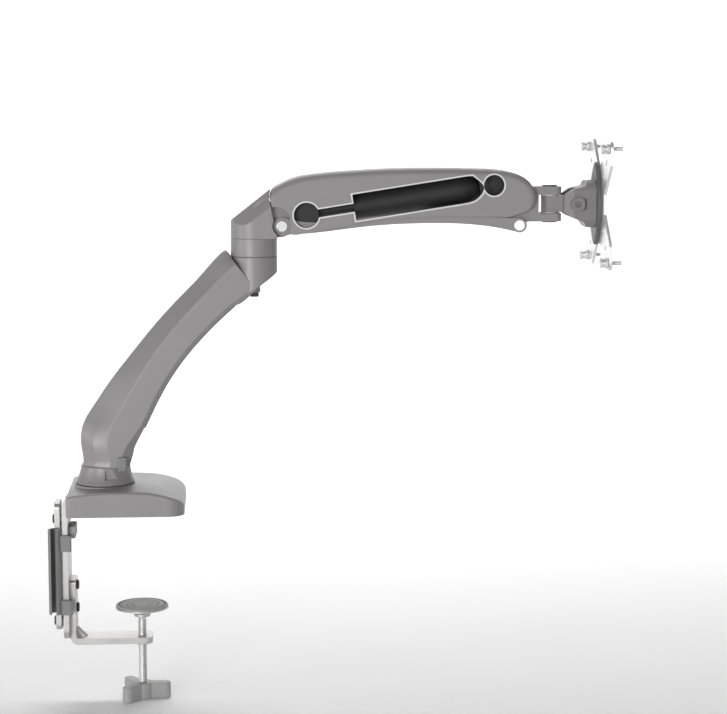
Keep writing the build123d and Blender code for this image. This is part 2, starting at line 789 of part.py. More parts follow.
# ---------------------------------------------------------------- pivot pins
def pivot_pin(name, centre, half, cap_r, cap):
    """A pin along Y with a low round cap at each end."""
    with BuildPart() as pin:
        with BuildSketch(Plane.XZ) as shank:
            with Locations(centre):
                Circle(PIN_R - RUNNING)
        extrude(shank.sketch, amount=half, both=True)
        for flip in (-1, 1):
            place = Plane((centre[0], flip * half, centre[1]), x_dir=(1, 0, 0), z_dir=(0, flip, 0))
            with BuildSketch(place) as disc:
                Circle(cap_r)
            extrude(disc.sketch, amount=cap)
        chamfer(edges().group_by(Axis.Y)[-1] + edges().group_by(Axis.Y)[0], length=0.25)
    save(pin, name)


HIDDEN_HALF = SHELL_INNER + 0.8
pivot_pin("rear_lower_pin", REAR_LOW, LINK_HALF, 4.9, 0.6)
pivot_pin("front_lower_pin", FRONT_LOW, LINK_HALF, 4.9, 0.6)
pivot_pin("rear_upper_pin", REAR_HIGH, HIDDEN_HALF, PIN_R - RUNNING, 0.8)
pivot_pin("front_upper_pin", FRONT_HIGH, HIDDEN_HALF, PIN_R - RUNNING, 0.8)

with BuildPart() as spring_anchor_pin:
    with BuildSketch(Plane.XZ):
        with Locations(ANCHOR):
            Circle(3.0)
    extrude(amount=CORE_HALF, both=True)
    with BuildSketch(Plane.XZ.offset(-CORE_HALF)):
        with Locations(ANCHOR):
            Circle(5.0)
    extrude(amount=-0.5)
    with BuildSketch(Plane.XZ.offset(CORE_HALF)):
        with Locations(ANCHOR):
            Circle(ANCHOR_CAP_R)
    extrude(amount=0.45)
save(spring_anchor_pin, "spring_anchor_pin")

# ---------------------------------------------------------------- upper arm shell
SHELL_TOP = [
    (153.0, 287.8),
    (160.8, 292.0),
    (171.5, 296.4),
    (187.5, 299.4),
    (219.6, 302.2),
    (262.6, 304.4),
    (305.6, 304.6),
    (338.0, 304.0),
    (357.0, 302.6),
    (370.5, 299.2),
    (381.5, 291.6),
    (386.0, 284.0),
]
SHELL_NOTCH = 167.5
SHELL_FOOT = [(300.0, 262.4), (250.0, 259.8), (205.0, 252.4), (SHELL_NOTCH + 5, 246.4)]
SHELL_WALL = SHELL_HALF - SHELL_INNER
SHELL_ROOF = 3.0


def shell_side(inset):
    """Side outline of the upper arm shell, open along its lower edge."""
    with BuildSketch(Plane.XZ) as outline:
        with BuildLine():
            start = (SHELL_TOP[0][0] + inset, SHELL_TOP[0][1] - inset)
            middle = [(x, z - inset) for x, z in SHELL_TOP[1:-2]]
            nose = [(x - inset * 0.7, z - inset * 0.7) for x, z in SHELL_TOP[-2:-1]]
            tip = (SHELL_TOP[-1][0] - inset, SHELL_TOP[-1][1])
            crown = Spline(start, *middle, *nose, tip)
            front = ThreePointArc(crown @ 1, (384.0 - inset, 273.5), (375.0 - inset, 266.0))
            chin = Line(front @ 1, (362.0, 261.6 - inset * 3))
            foot = Spline(chin @ 1, *[(x, z - inset * 3) for x, z in SHELL_FOOT])
            step = Line(foot @ 1, (SHELL_NOTCH, 247.0 - inset * 3))
            notch = Line(step @ 1, (SHELL_NOTCH, 262.0))
            shoulder = ThreePointArc(notch @ 1, (163.6, 267.6), (151.6 + inset, 271.0))
            ThreePointArc(shoulder @ 1, (150.0 + inset, 279.0), crown @ 0)
        make_face()
    return outline.sketch


def spring_frame():
    """The gas spring's own plane: origin at the mount, local x towards the anchor."""
    dx, dz = ANCHOR[0] - MOUNT[0], ANCHOR[1] - MOUNT[1]
    length = hypot(dx, dz)
    along = (dx / length, 0, dz / length)
    return Plane((MOUNT[0], 0, MOUNT[1]), x_dir=along, z_dir=(0, -1, 0)), length


SPRING_PLANE, SPRING_LENGTH = spring_frame()
CYL_START = 9.2
CYL_END = 126.0
EYE_R = 11.2
TAIL_R = 9.2


def spring_window(grow, y):
    """The outline of the spring as seen from the side, grown by a margin, at depth y."""
    with BuildSketch(SPRING_PLANE.offset(y)) as window:
        Circle(TAIL_R + grow)
        with Locations((SPRING_LENGTH, 0)):
            Circle(EYE_R + grow)
        with Locations(((CYL_END + SPRING_LENGTH) / 2, 0)):
            Rectangle(SPRING_LENGTH - CYL_END, 2 * (3.55 + grow))
        with BuildLine():
            high = Line((CYL_END + grow, 11.7 + grow), (CYL_START + 22, 11.7 + grow))
            nose = Spline(
                high @ 1,
                (CYL_START + 6 - grow * 0.5, 8.6 + grow),
                (CYL_START - grow, 0),
                (CYL_START + 6 - grow * 0.5, -8.6 - grow),
                (CYL_START + 22, -11.7 - grow),
                tangents=[(-1, 0), (1, 0)],
            )
            Polyline(nose @ 1, (CYL_END + grow, -11.7 - grow), high @ 0)
        make_face()
    return window.sketch


with BuildPart() as shell_hollow:
    extrude(shell_side(SHELL_ROOF), amount=SHELL_INNER, both=True)

with BuildPart() as upper_arm_shell:
    extrude(shell_side(0), amount=SHELL_HALF, both=True)
    crest = edges().filter_by(lambda e: abs(abs(e.center().Y) - SHELL_HALF) < 0.01 and e.center().Z > 290)
    fillet(crest, radius=6.0)
    add(shell_hollow.part, mode=Mode.SUBTRACT)
    with BuildSketch(Plane.XZ):
        Polygon(
            (SHELL_NOTCH - 30, 240),
            (360, 240),
            (392, 262),
            (400, 290),
            (384, 293),
            (376, 288),
            (356, 262),
            (SHELL_NOTCH, 262),
            (SHELL_NOTCH - 6, 284.0),
            (SHELL_NOTCH - 30, 284.0),
            align=None,
        )
    extrude(amount=SHELL_INNER, both=True, mode=Mode.SUBTRACT)
    with BuildSketch(Plane.XZ):
        with Locations((388, 275)):
            Rectangle(32, 80)
    extrude(amount=CORE_HALF + 0.4, both=True, mode=Mode.SUBTRACT)
    with BuildSketch(Plane.XZ):
        with Locations(REAR_HIGH, FRONT_HIGH):
            Circle(7.5)
    extrude(amount=SHELL_INNER, both=True)
    with BuildSketch(Plane.XZ):
        with Locations(REAR_HIGH, FRONT_HIGH):
            Circle(7.6)
    extrude(amount=CORE_HALF + 0.5, both=True, mode=Mode.SUBTRACT)
    with BuildSketch(Plane.XZ.offset(-9.0)):
        with Locations(MOUNT):
            Circle(6.5)
    extrude(amount=-(SHELL_INNER - 9.0))
    extrude(spring_window(1.3, SHELL_INNER - 0.5), amount=SHELL_WALL + 2, mode=Mode.SUBTRACT)
    cut_bores([REAR_HIGH, FRONT_HIGH, MOUNT], PIN_R - RUNNING + 0.02, HIDDEN_HALF + 0.9)
save(upper_arm_shell, "upper_arm_shell")

with BuildPart() as window_rim:
    extrude(spring_window(1.3, SHELL_HALF - 2.6), amount=2.9)
    extrude(spring_window(0.0, SHELL_HALF - 3.6), amount=6, mode=Mode.SUBTRACT)
save(window_rim, "window_rim")

with BuildPart() as spring_mount_pin:
    with BuildSketch(Plane.XZ.offset(8.5)):
        with Locations(MOUNT):
            Circle(PIN_R - RUNNING)
    extrude(amount=-(8.5 + HIDDEN_HALF))
save(spring_mount_pin, "spring_mount_pin")

# ---------------------------------------------------------------- lower link
LINK_FOOT = [(204.0, 249.6), (235.0, 253.4), (284.0, 256.0), (330.0, 254.8)]


def link_side():
    """Side outline of the link: a shallow bowed strap with a round lug at each pin."""
    with BuildSketch(Plane.XZ) as outline:
        with BuildLine():
            foot = Spline(
                (REAR_LOW[0] + 1, REAR_LOW[1] - 7.6),
                *LINK_FOOT,
                (FRONT_LOW[0] - 1, FRONT_LOW[1] - 6.4),
            )
            head = Spline(
                (FRONT_LOW[0] - 1, FRONT_LOW[1] + 6.4),
                (330.0, 262.6),
                (284.0, 264.4),
                (235.0, 261.4),
                (204.0, 257.6),
                (REAR_LOW[0] + 1, REAR_LOW[1] + 7.6),
            )
            Line(foot @ 1, head @ 0)
            Line(head @ 1, foot @ 0)
        make_face()
        with Locations(REAR_LOW):
            Circle(7.7)
        with Locations(FRONT_LOW):
            Circle(6.6)
    return outline.sketch


with BuildPart() as lower_link:
    extrude(link_side(), amount=LINK_HALF, both=True)
    with BuildSketch(Plane.XZ):
        Polygon((140, 240), (292, 240), (292, 280), (140, 280), align=None)
        Polygon((352, 240), (390, 240), (390, 280), (352, 280), align=None)
        with BuildLine():
            web = Spline((291, 257.9), (320, 257.4), (353, 255.0))
            Polyline(web @ 1, (353, 275), (291, 275), web @ 0)
        make_face()
    extrude(amount=LINK_INNER, both=True, mode=Mode.SUBTRACT)
    cut_bores([REAR_LOW, FRONT_LOW], PIN_R - RUNNING + 0.02, 30)
save(lower_link, "lower_link")

# ---------------------------------------------------------------- gas spring
def spring_sleeve(x_low, x_high, radius):
    """A round bar on the spring's axis between two distances from its mount."""
    origin = SPRING_PLANE.origin + SPRING_PLANE.x_dir * x_low
    place = Plane(origin, x_dir=(0, 1, 0), z_dir=SPRING_PLANE.x_dir)
    with BuildSketch(place) as disc:
        Circle(radius)
    return extrude(disc.sketch, amount=x_high - x_low, mode=Mode.PRIVATE)


with BuildPart() as gas_cylinder:
    with BuildSketch(SPRING_PLANE):
        with BuildLine():
            high = Line((CYL_END, 0), (CYL_END, SPRING_R))
            body = Line(high @ 1, (CYL_START + 20, SPRING_R))
            nose = Spline(
                body @ 1,
                (CYL_START + 7.5, 8.8),
                (CYL_START + 2.5, 4.6),
                tangents=[(-1, 0), (-0.5, -1)],
            )
            Polyline(nose @ 1, (CYL_START + 2.5, 0), high @ 0)
        make_face()
    axis = Axis(SPRING_PLANE.origin, SPRING_PLANE.x_dir)
    revolve(axis=axis)
    add(spring_sleeve(CYL_START + 22, CYL_END + 1, 9.8), mode=Mode.SUBTRACT)
save(gas_cylinder, "gas_spring_cylinder")

with BuildPart() as tail_eye:
    with BuildSketch(SPRING_PLANE):
        Circle(TAIL_R + 0.3)
        with Locations((CYL_START + 1.0, 0)):
            Rectangle(3.0, 9.0)
    extrude(amount=8.6, both=True)
    with BuildSketch(SPRING_PLANE):
        Circle(PIN_R + 0.02)
    extrude(amount=20, both=True, mode=Mode.SUBTRACT)
    add(spring_sleeve(CYL_START + 2.5, CYL_START + 10, 14), mode=Mode.SUBTRACT)
save(tail_eye, "gas_spring_tail_eye")

GLAND_LENGTH = 9.0
with BuildPart() as gas_gland:
    add(spring_sleeve(CYL_END - GLAND_LENGTH, CYL_END - 0.4, 9.8))
    add(spring_sleeve(CYL_END - GLAND_LENGTH - 1, CYL_END + 1, ROD_R + RUNNING), mode=Mode.SUBTRACT)
save(gas_gland, "gas_spring_gland")

PISTON_AT = 96.0
with BuildPart() as gas_rod:
    add(spring_sleeve(PISTON_AT, SPRING_LENGTH - EYE_R + 1.0, ROD_R))
save(gas_rod, "gas_spring_rod")

with BuildPart() as gas_piston:
    add(spring_sleeve(PISTON_AT - 7, PISTON_AT, 9.5))
save(gas_piston, "gas_spring_piston")

EYE_SLOT_R = 6.6
with BuildPart() as rod_eye:
    with BuildSketch(SPRING_PLANE):
        with Locations((SPRING_LENGTH, 0)):
            Circle(EYE_R + 0.8)
    extrude(amount=6.8, both=True)
    with BuildSketch(SPRING_PLANE):
        with Locations((SPRING_LENGTH, 0)):
            Circle(EYE_SLOT_R)
    extrude(amount=10, both=True, mode=Mode.SUBTRACT)
    add(spring_sleeve(SPRING_LENGTH - EYE_R - 6, SPRING_LENGTH - EYE_R + 1.0, ROD_R), mode=Mode.SUBTRACT)
save(rod_eye, "gas_spring_rod_eye")

# ---------------------------------------------------------------- front bracket (fork)
with BuildPart() as front_bracket:
    with BuildSketch(Plane.XZ):
        with BuildLine():
            Polyline(
                (FRONT_LOW[0] - 6, FRONT_LOW[1] - 4),
                (FRONT_LOW[0] + 8, FORK_BOTTOM),
                (FORK_END, FORK_BOTTOM),
                (FORK_END, FORK_TOP),
                (FRONT_HIGH[0] + 8, FORK_TOP),
                (FRONT_HIGH[0] - 5, FORK_TOP - 2.0),
                (FRONT_LOW[0] - 8, FRONT_LOW[1] + 12),
                close=True,
            )
        make_face()
        fillet(vertices().filter_by(lambda v: v.X < 381), radius=3.0)
    extrude(amount=FORK_HALF, both=True)
    with BuildSketch(Plane.XZ):
        with Locations((FORK_END - 6, HEAD_Z)):
            Rectangle(30, FORK_TOP - FORK_BOTTOM - 2 * FORK_EAR)
    extrude(amount=30, both=True, mode=Mode.SUBTRACT)
    tips = edges().filter_by(Axis.Z).group_by(Axis.X)[-1]
    fillet(tips, radius=5.5)
    with BuildSketch(Plane.XY.offset(FORK_BOTTOM)):
        with Locations((PAN_X, 0)):
            Circle(4.55)
    extrude(amount=40, mode=Mode.SUBTRACT)
    cut_bores([FRONT_LOW, FRONT_HIGH], PIN_R, 30)
save(front_bracket, "front_bracket")

with BuildPart() as pan_bolt:
    with BuildSketch(Plane.XY.offset(FORK_BOTTOM)):
        with Locations((PAN_X, 0)):
            Circle(4.5)
    extrude(amount=FORK_TOP - FORK_BOTTOM)
    with BuildSketch(Plane.XY.offset(FORK_TOP)):
        with Locations((PAN_X, 0)):
            Circle(6.6)
    extrude(amount=1.2)
    with BuildSketch(Plane.XY.offset(FORK_BOTTOM)):
        with Locations((PAN_X, 0)):
            Circle(6.6)
    extrude(amount=-1.2)
    with BuildSketch(Plane.XY.offset(FORK_TOP + 1.2)):
        with Locations((PAN_X, 0)):
            RegularPolygon(2.6, 6)
    extrude(amount=-2.4, mode=Mode.SUBTRACT)
save(pan_bolt, "pan_bolt")

GAP_LOW = FORK_BOTTOM + FORK_EAR
GAP_HIGH = FORK_TOP - FORK_EAR
TONGUE_HALF_Z = 7.3
with BuildPart() as pan_washers:
    for low, high in ((GAP_LOW, HEAD_Z - TONGUE_HALF_Z), (HEAD_Z + TONGUE_HALF_Z, GAP_HIGH)):
        with BuildSketch(Plane.XY.offset(low)):
            with Locations((PAN_X, 0)):
                Circle(8.0)
                Circle(4.5 + RUNNING, mode=Mode.SUBTRACT)
        extrude(amount=high - low)
save(pan_washers, "pan_washers")

# ---------------------------------------------------------------- head
with BuildPart() as pan_block:
    with BuildSketch(Plane.XY.offset(HEAD_Z - TONGUE_HALF_Z)):
        with BuildLine():
            Polyline(
                (PAN_X - 7.0, -4.5),
                (PAN_X - 4.0, -8.4),
                (TILT_X, -8.4),
                (TILT_X, 8.4),
                (PAN_X - 4.0, 8.4),
                (PAN_X - 7.0, 4.5),
                close=True,
            )
        make_face()
    extrude(amount=2 * TONGUE_HALF_Z)
    with BuildSketch(Plane.XZ):
        with Locations((TILT_X, HEAD_Z)):
            Circle(11.2)
    extrude(amount=8.4, both=True)
    with BuildSketch(Plane.XY.offset(HEAD_Z - 10)):
        with Locations((PAN_X, 0)):
            Circle(4.5 + RUNNING)
    extrude(amount=20, mode=Mode.SUBTRACT)
    with BuildSketch(Plane.XZ):
        with Locations((TILT_X, HEAD_Z)):
            Circle(4.0 + RUNNING)
    extrude(amount=20, both=True, mode=Mode.SUBTRACT)
save(pan_block, "pan_block")

HEAD_HALF = 17.0
with BuildPart() as tilt_head:
    with BuildSketch(Plane.XZ):
        with BuildLine():
            Polyline(
                (412.4, HEAD_Z - 7.6),
                (412.4, HEAD_Z + 8.0),
                (420.5, HEAD_Z + 13.4),
                (431.5, HEAD_Z + 16.0),
                (432.5, HEAD_Z + 21.0),
                (ROTATE_X, HEAD_Z + 21.0),
                (ROTATE_X, HEAD_Z - 21.0),
                (432.5, HEAD_Z - 21.0),
                (430.0, HEAD_Z - 16.0),
                (419.0, HEAD_Z - 11.6),
                close=True,
            )
        make_face()
        fillet(vertices().filter_by(lambda v: v.X < ROTATE_X - 1), radius=1.8)
    extrude(amount=HEAD_HALF, both=True)
    with BuildSketch(Plane.XY.offset(HEAD_Z - 30)):
        Polygon(
            (412, -12.4),
            (421, -HEAD_HALF),
            (ROTATE_X, -HEAD_HALF),
            (ROTATE_X, HEAD_HALF),
            (421, HEAD_HALF),
            (412, 12.4),
            align=None,
        )
    extrude(amount=60, mode=Mode.INTERSECT)
    with BuildSketch(Plane.YZ.offset(400)):
        with Locations((0, HEAD_Z)):
            RectangleRounded(2 * HEAD_HALF, 42.5, 10)
    extrude(amount=60, mode=Mode.INTERSECT)
    with BuildSketch(Plane.XZ):
        with Locations((TILT_X, HEAD_Z)):
            Circle(11.8)
        with Locations((TILT_X - 15, HEAD_Z)):
            Rectangle(30, 50)
    extrude(amount=8.9, both=True, mode=Mode.SUBTRACT)
    cut_bores([(TILT_X, HEAD_Z)], 4.0 + RUNNING, 30)
    with BuildSketch(Plane.XZ.offset(HEAD_HALF)):
        with Locations((430.5, HEAD_Z)):
            SlotCenterToCenter(7.0, 2.6, rotation=90)
    extrude(amount=-1.6, mode=Mode.SUBTRACT)
    with BuildSketch(Plane.YZ.offset(ROTATE_X)):
        with Locations((0, HEAD_Z)):
            Circle(5.0)
    extrude(amount=-5, mode=Mode.SUBTRACT)
save(tilt_head, "tilt_head")

with BuildPart() as tilt_bolt:
    with BuildSketch(Plane.XZ):
        with Locations((TILT_X, HEAD_Z)):
            Circle(4.0)
    extrude(amount=HEAD_HALF, both=True)
    with BuildSketch(Plane.XZ.offset(HEAD_HALF)):
        with Locations((TILT_X, HEAD_Z)):
            Circle(6.4)
    extrude(amount=3.0)
    with BuildSketch(Plane.XZ.offset(HEAD_HALF + 3)):
        with Locations((TILT_X, HEAD_Z)):
            RegularPolygon(3.0, 6)
    extrude(amount=-2.2, mode=Mode.SUBTRACT)
save(tilt_bolt, "tilt_bolt")

with BuildPart() as tilt_nut:
    with BuildSketch(Plane.XZ.offset(-HEAD_HALF)):
        with Locations((TILT_X, HEAD_Z)):
            RegularPolygon(7.0, 6)
            Circle(4.0 + 0.02, mode=Mode.SUBTRACT)
    extrude(amount=-4.5)
save(tilt_nut, "tilt_nut")

PLATE_BACK = ROTATE_X + 0.3
with BuildPart() as rotate_plate:
    with BuildSketch(Plane.YZ.offset(PLATE_BACK)):
        with BuildLine():
            left = ThreePointArc((0, HEAD_Z + 38), (-21, HEAD_Z), (0, HEAD_Z - 38))
            ThreePointArc(left @ 1, (21, HEAD_Z), left @ 0)
        make_face()
        fillet(vertices(), radius=4)
    extrude(amount=VESA_X - PLATE_BACK)
    chamfer(edges().group_by(Axis.X)[0], length=1.2)
    with BuildSketch(Plane.YZ.offset(PLATE_BACK)):
        with Locations((0, HEAD_Z)):
            Circle(4.1)
    extrude(amount=10, mode=Mode.SUBTRACT)
save(rotate_plate, "rotate_plate")

with BuildPart() as rotate_bolt:
    with BuildSketch(Plane.YZ.offset(VESA_X + VESA_THICK)):
        with Locations((0, HEAD_Z)):
            Circle(8.0)
    extrude(amount=2.0)
    with BuildSketch(Plane.YZ.offset(VESA_X + VESA_THICK)):
        with Locations((0, HEAD_Z)):
            Circle(4.0)
    extrude(amount=-(VESA_X + VESA_THICK - ROTATE_X + 4.5))
    with BuildSketch(Plane.YZ.offset(VESA_X + VESA_THICK + 2)):
        with Locations((0, HEAD_Z)):
            RegularPolygon(3.0, 6)
    extrude(amount=-1.5, mode=Mode.SUBTRACT)
save(rotate_bolt, "rotate_bolt")

VESA_BIG = 50.0
VESA_SMALL = 37.5
VESA_HOLE_R = 2.3
with BuildPart() as vesa_plate:
    with BuildSketch(Plane.YZ.offset(VESA_X)):
        with Locations((0, HEAD_Z)):
            RectangleRounded(2 * VESA_HALF, 2 * VESA_HALF, 7)
        for flip in (-1, 1):
            Polygon(
                (-30, HEAD_Z + flip * (VESA_HALF + 1)),
                (30, HEAD_Z + flip * (VESA_HALF + 1)),
                (7, HEAD_Z + flip * (VESA_HALF - 22)),
                (-7, HEAD_Z + flip * (VESA_HALF - 22)),
                align=None,
                mode=Mode.SUBTRACT,
            )
            Polygon(
                (flip * (VESA_HALF + 1), HEAD_Z - 36),
                (flip * (VESA_HALF + 1), HEAD_Z + 36),
                (flip * 27, HEAD_Z + 9),
                (flip * 27, HEAD_Z - 9),
                align=None,
                mode=Mode.SUBTRACT,
            )
        inside = VESA_HALF - 1
        inner = vertices().filter_by(lambda v: abs(v.Y) < inside and abs(v.Z - HEAD_Z) < inside)
        fillet(inner, radius=3)
        with Locations((0, HEAD_Z)):
            Circle(4.2, mode=Mode.SUBTRACT)
        for half in (VESA_BIG, VESA_SMALL):
            with Locations(*[(y * half, HEAD_Z + z * half) for y in (-1, 1) for z in (-1, 1)]):
                Circle(VESA_HOLE_R, mode=Mode.SUBTRACT)
        with Locations(*[(y * 24, HEAD_Z + z * 24) for y in (-1, 1) for z in (-1, 1)]):
            Circle(3.2, mode=Mode.SUBTRACT)
    extrude(amount=VESA_THICK)
save(vesa_plate, "vesa_plate")

# the shank is thinner where it passes through the plate, then two knurled discs behind it
PLATE_OUT = VESA_X + VESA_THICK
THUMB_STEPS = [
    (PLATE_OUT, 2.0, 9.4),
    (VESA_X, 1.6, VESA_THICK),
    (VESA_X, 4.6, -3.0),
    (VESA_X - 3.0, 3.4, -1.4),
    (VESA_X - 4.4, 4.6, -3.2),
]
with BuildPart() as vesa_thumbscrews:
    for x, radius, length in THUMB_STEPS:
        with BuildSketch(Plane.YZ.offset(x)):
            with Locations((0, HEAD_Z)):
                with GridLocations(2 * VESA_BIG, 2 * VESA_BIG, 2, 2):
                    Circle(radius)
        extrude(amount=length)
save(vesa_thumbscrews, "vesa_thumbscrews")
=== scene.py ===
# %% [markdown]
# A desk-clamp monitor arm
# The arm holds a display in front of a desk. From the desk up it has a screw clamp, a wide base,
# a bent lower arm, an elbow, an upper arm that holds a gas spring, and a head with a crossed plate.
# This lesson takes the finished CAD parts as they are and gives them surfaces, then adds the few
# pieces that CAD leaves plain: the screw thread, the knurled thumbscrews and the soft pads.

# %% Load the parts
import math

import bpy
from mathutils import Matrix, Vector


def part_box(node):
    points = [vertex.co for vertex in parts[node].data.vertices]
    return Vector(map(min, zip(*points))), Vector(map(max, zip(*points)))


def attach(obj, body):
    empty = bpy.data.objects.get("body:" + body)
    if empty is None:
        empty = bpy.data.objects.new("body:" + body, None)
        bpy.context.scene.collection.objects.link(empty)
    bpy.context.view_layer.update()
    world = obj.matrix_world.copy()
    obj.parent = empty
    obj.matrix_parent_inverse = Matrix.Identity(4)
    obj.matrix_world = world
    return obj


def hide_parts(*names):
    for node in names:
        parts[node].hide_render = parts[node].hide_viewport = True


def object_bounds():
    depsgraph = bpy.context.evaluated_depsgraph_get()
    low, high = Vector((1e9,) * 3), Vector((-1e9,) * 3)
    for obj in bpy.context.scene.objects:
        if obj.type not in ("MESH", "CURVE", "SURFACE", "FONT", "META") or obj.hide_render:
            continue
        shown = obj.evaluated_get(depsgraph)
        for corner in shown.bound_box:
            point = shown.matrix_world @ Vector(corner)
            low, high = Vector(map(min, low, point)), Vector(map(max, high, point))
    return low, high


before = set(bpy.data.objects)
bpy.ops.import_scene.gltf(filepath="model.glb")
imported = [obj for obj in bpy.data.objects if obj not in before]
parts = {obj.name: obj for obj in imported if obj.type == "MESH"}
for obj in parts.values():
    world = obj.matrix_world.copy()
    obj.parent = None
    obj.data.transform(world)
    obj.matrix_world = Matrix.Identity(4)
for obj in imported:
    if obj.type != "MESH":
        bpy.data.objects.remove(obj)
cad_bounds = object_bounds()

# %% [markdown]
# Wiring nodes by hand
# A procedural finish is a small network of nodes. Two helpers keep the cells below short: one adds
# a node and fills in its plain values, the other joins two sockets. All lengths are in metres.


# %% Node helpers
def add_node(tree, kind, **values):
    """Add a node and set its named properties or input sockets."""
    node = tree.nodes.new(kind)
    for name, value in values.items():
        if hasattr(node, name):
            setattr(node, name, value)
        else:
            node.inputs[name.replace("_", " ")].default_value = value
    return node


def join(tree, source, target):
    """Join an output socket to an input socket."""
    tree.links.new(source, target)


def new_group(name, inputs, outputs):
    """An empty shader node group with named number, colour or vector sockets."""
    group = bpy.data.node_groups.new(name, "ShaderNodeTree")
    for label, kind, value in inputs:
        socket = group.interface.new_socket(name=label, in_out="INPUT", socket_type=kind)
        socket.default_value = value
    for label, kind in outputs:
        group.interface.new_socket(name=label, in_out="OUTPUT", socket_type=kind)
    start = group.nodes.new("NodeGroupInput")
    end = group.nodes.new("NodeGroupOutput")
    return group, start, end


print("helpers ready")

# %% [markdown]
# Edge wear, one group for every hard finish
# Paint and plating are thinnest on corners, where hands and packaging rub. The corner can be found
# with mesh curvature, but CAD meshes have few points on flat faces. The Bevel node is chosen
# instead: it rounds the normal near a corner, and where the rounded normal leaves the true one,
# the mask is bright. Noise breaks the line so that it doesn't look drawn.


# %% Edge wear group
def build_edge_wear():
    group, start, end = new_group(
        "edge wear",
        [("Width", "NodeSocketFloat", 0.0006), ("Amount", "NodeSocketFloat", 0.5)],
        [("Mask", "NodeSocketFloat")],
    )
    where = add_node(group, "ShaderNodeTexCoord")
    true_normal = add_node(group, "ShaderNodeNewGeometry")
    rounded = add_node(group, "ShaderNodeBevel", samples=4)
    likeness = add_node(group, "ShaderNodeVectorMath", operation="DOT_PRODUCT")
    corner = add_node(group, "ShaderNodeMapRange")
    corner.inputs["From Min"].default_value = 0.995
    corner.inputs["From Max"].default_value = 0.86
    patches = add_node(group, "ShaderNodeTexNoise", Scale=140.0, Detail=4.0)
    broken = add_node(group, "ShaderNodeMapRange")
    broken.inputs["From Min"].default_value = 0.35
    broken.inputs["From Max"].default_value = 0.65
    worn = add_node(group, "ShaderNodeMath", operation="MULTIPLY")
    scaled = add_node(group, "ShaderNodeMath", operation="MULTIPLY", use_clamp=True)
    join(group, start.outputs["Width"], rounded.inputs["Radius"])
    join(group, rounded.outputs["Normal"], likeness.inputs[0])
    join(group, true_normal.outputs["Normal"], likeness.inputs[1])
    join(group, likeness.outputs["Value"], corner.inputs["Value"])
    join(group, where.outputs["Object"], patches.inputs["Vector"])
    join(group, patches.outputs["Fac"], broken.inputs["Value"])
    join(group, corner.outputs["Result"], worn.inputs[0])
    join(group, broken.outputs["Result"], worn.inputs[1])
    join(group, worn.outputs["Value"], scaled.inputs[0])
    join(group, start.outputs["Amount"], scaled.inputs[1])
    join(group, scaled.outputs["Value"], end.inputs["Mask"])
    return group


edge_wear = build_edge_wear()
print("group", edge_wear.name)

# %% [markdown]
# Powder grain
# A painted casting isn't smooth: the powder flows into a fine orange peel about half a millimetre
# across. Two noises do this, a coarse one for the flow and a fine one for the grit. The same group
# serves the moulded plastic, with smaller scales.


# %% Powder grain group
def build_powder_grain():
    group, start, end = new_group(
        "powder grain",
        [("Peel", "NodeSocketFloat", 900.0), ("Grit", "NodeSocketFloat", 3600.0)],
        [("Height", "NodeSocketFloat"), ("Tint", "NodeSocketFloat")],
    )
    where = add_node(group, "ShaderNodeTexCoord")
    peel = add_node(group, "ShaderNodeTexNoise", Detail=2.0, Roughness=0.4)
    grit = add_node(group, "ShaderNodeTexNoise", Detail=3.0, Roughness=0.6)
    mixed = add_node(group, "ShaderNodeMath", operation="MULTIPLY_ADD")
    mixed.inputs[1].default_value = 0.35
    join(group, where.outputs["Object"], peel.inputs["Vector"])
    join(group, where.outputs["Object"], grit.inputs["Vector"])
    join(group, start.outputs["Peel"], peel.inputs["Scale"])
    join(group, start.outputs["Grit"], grit.inputs["Scale"])
    join(group, grit.outputs["Fac"], mixed.inputs[0])
    join(group, peel.outputs["Fac"], mixed.inputs[2])
    join(group, mixed.outputs["Value"], end.inputs["Height"])
    join(group, grit.outputs["Fac"], end.inputs["Tint"])
    return group


powder_grain = build_powder_grain()
print("group", powder_grain.name)

# %% [markdown]
# Handling marks
# No used surface is equally shiny all over. Broad soft patches, some centimetres across, stand for
# wiping and finger marks, and change the roughness a little and the colour hardly at all.


# %% Handling group
def build_handling():
    group, start, end = new_group(
        "handling marks",
        [
            ("Size", "NodeSocketFloat", 28.0),
            ("Low", "NodeSocketFloat", 0.35),
            ("High", "NodeSocketFloat", 0.5),
        ],
        [("Roughness", "NodeSocketFloat"), ("Tint", "NodeSocketFloat")],
    )
    where = add_node(group, "ShaderNodeTexCoord")
    broad = add_node(group, "ShaderNodeTexNoise", Detail=5.0, Roughness=0.55)
    spread = add_node(group, "ShaderNodeMapRange")
    spread.inputs["From Min"].default_value = 0.3
    spread.inputs["From Max"].default_value = 0.7
    join(group, where.outputs["Object"], broad.inputs["Vector"])
    join(group, start.outputs["Size"], broad.inputs["Scale"])
    join(group, broad.outputs["Fac"], spread.inputs["Value"])
    join(group, start.outputs["Low"], spread.inputs["To Min"])
    join(group, start.outputs["High"], spread.inputs["To Max"])
    join(group, spread.outputs["Result"], end.inputs["Roughness"])
    join(group, broad.outputs["Fac"], end.inputs["Tint"])
    return group


handling_marks = build_handling()
print("group", handling_marks.name)

# %% [markdown]
# Rolling lines
# Steel strip keeps faint lines from the rolling mill, and turned pins keep rings from the lathe.
# Noise squeezed along one direction gives both. The squeeze is an input, so each finish can point
# the lines its own way.


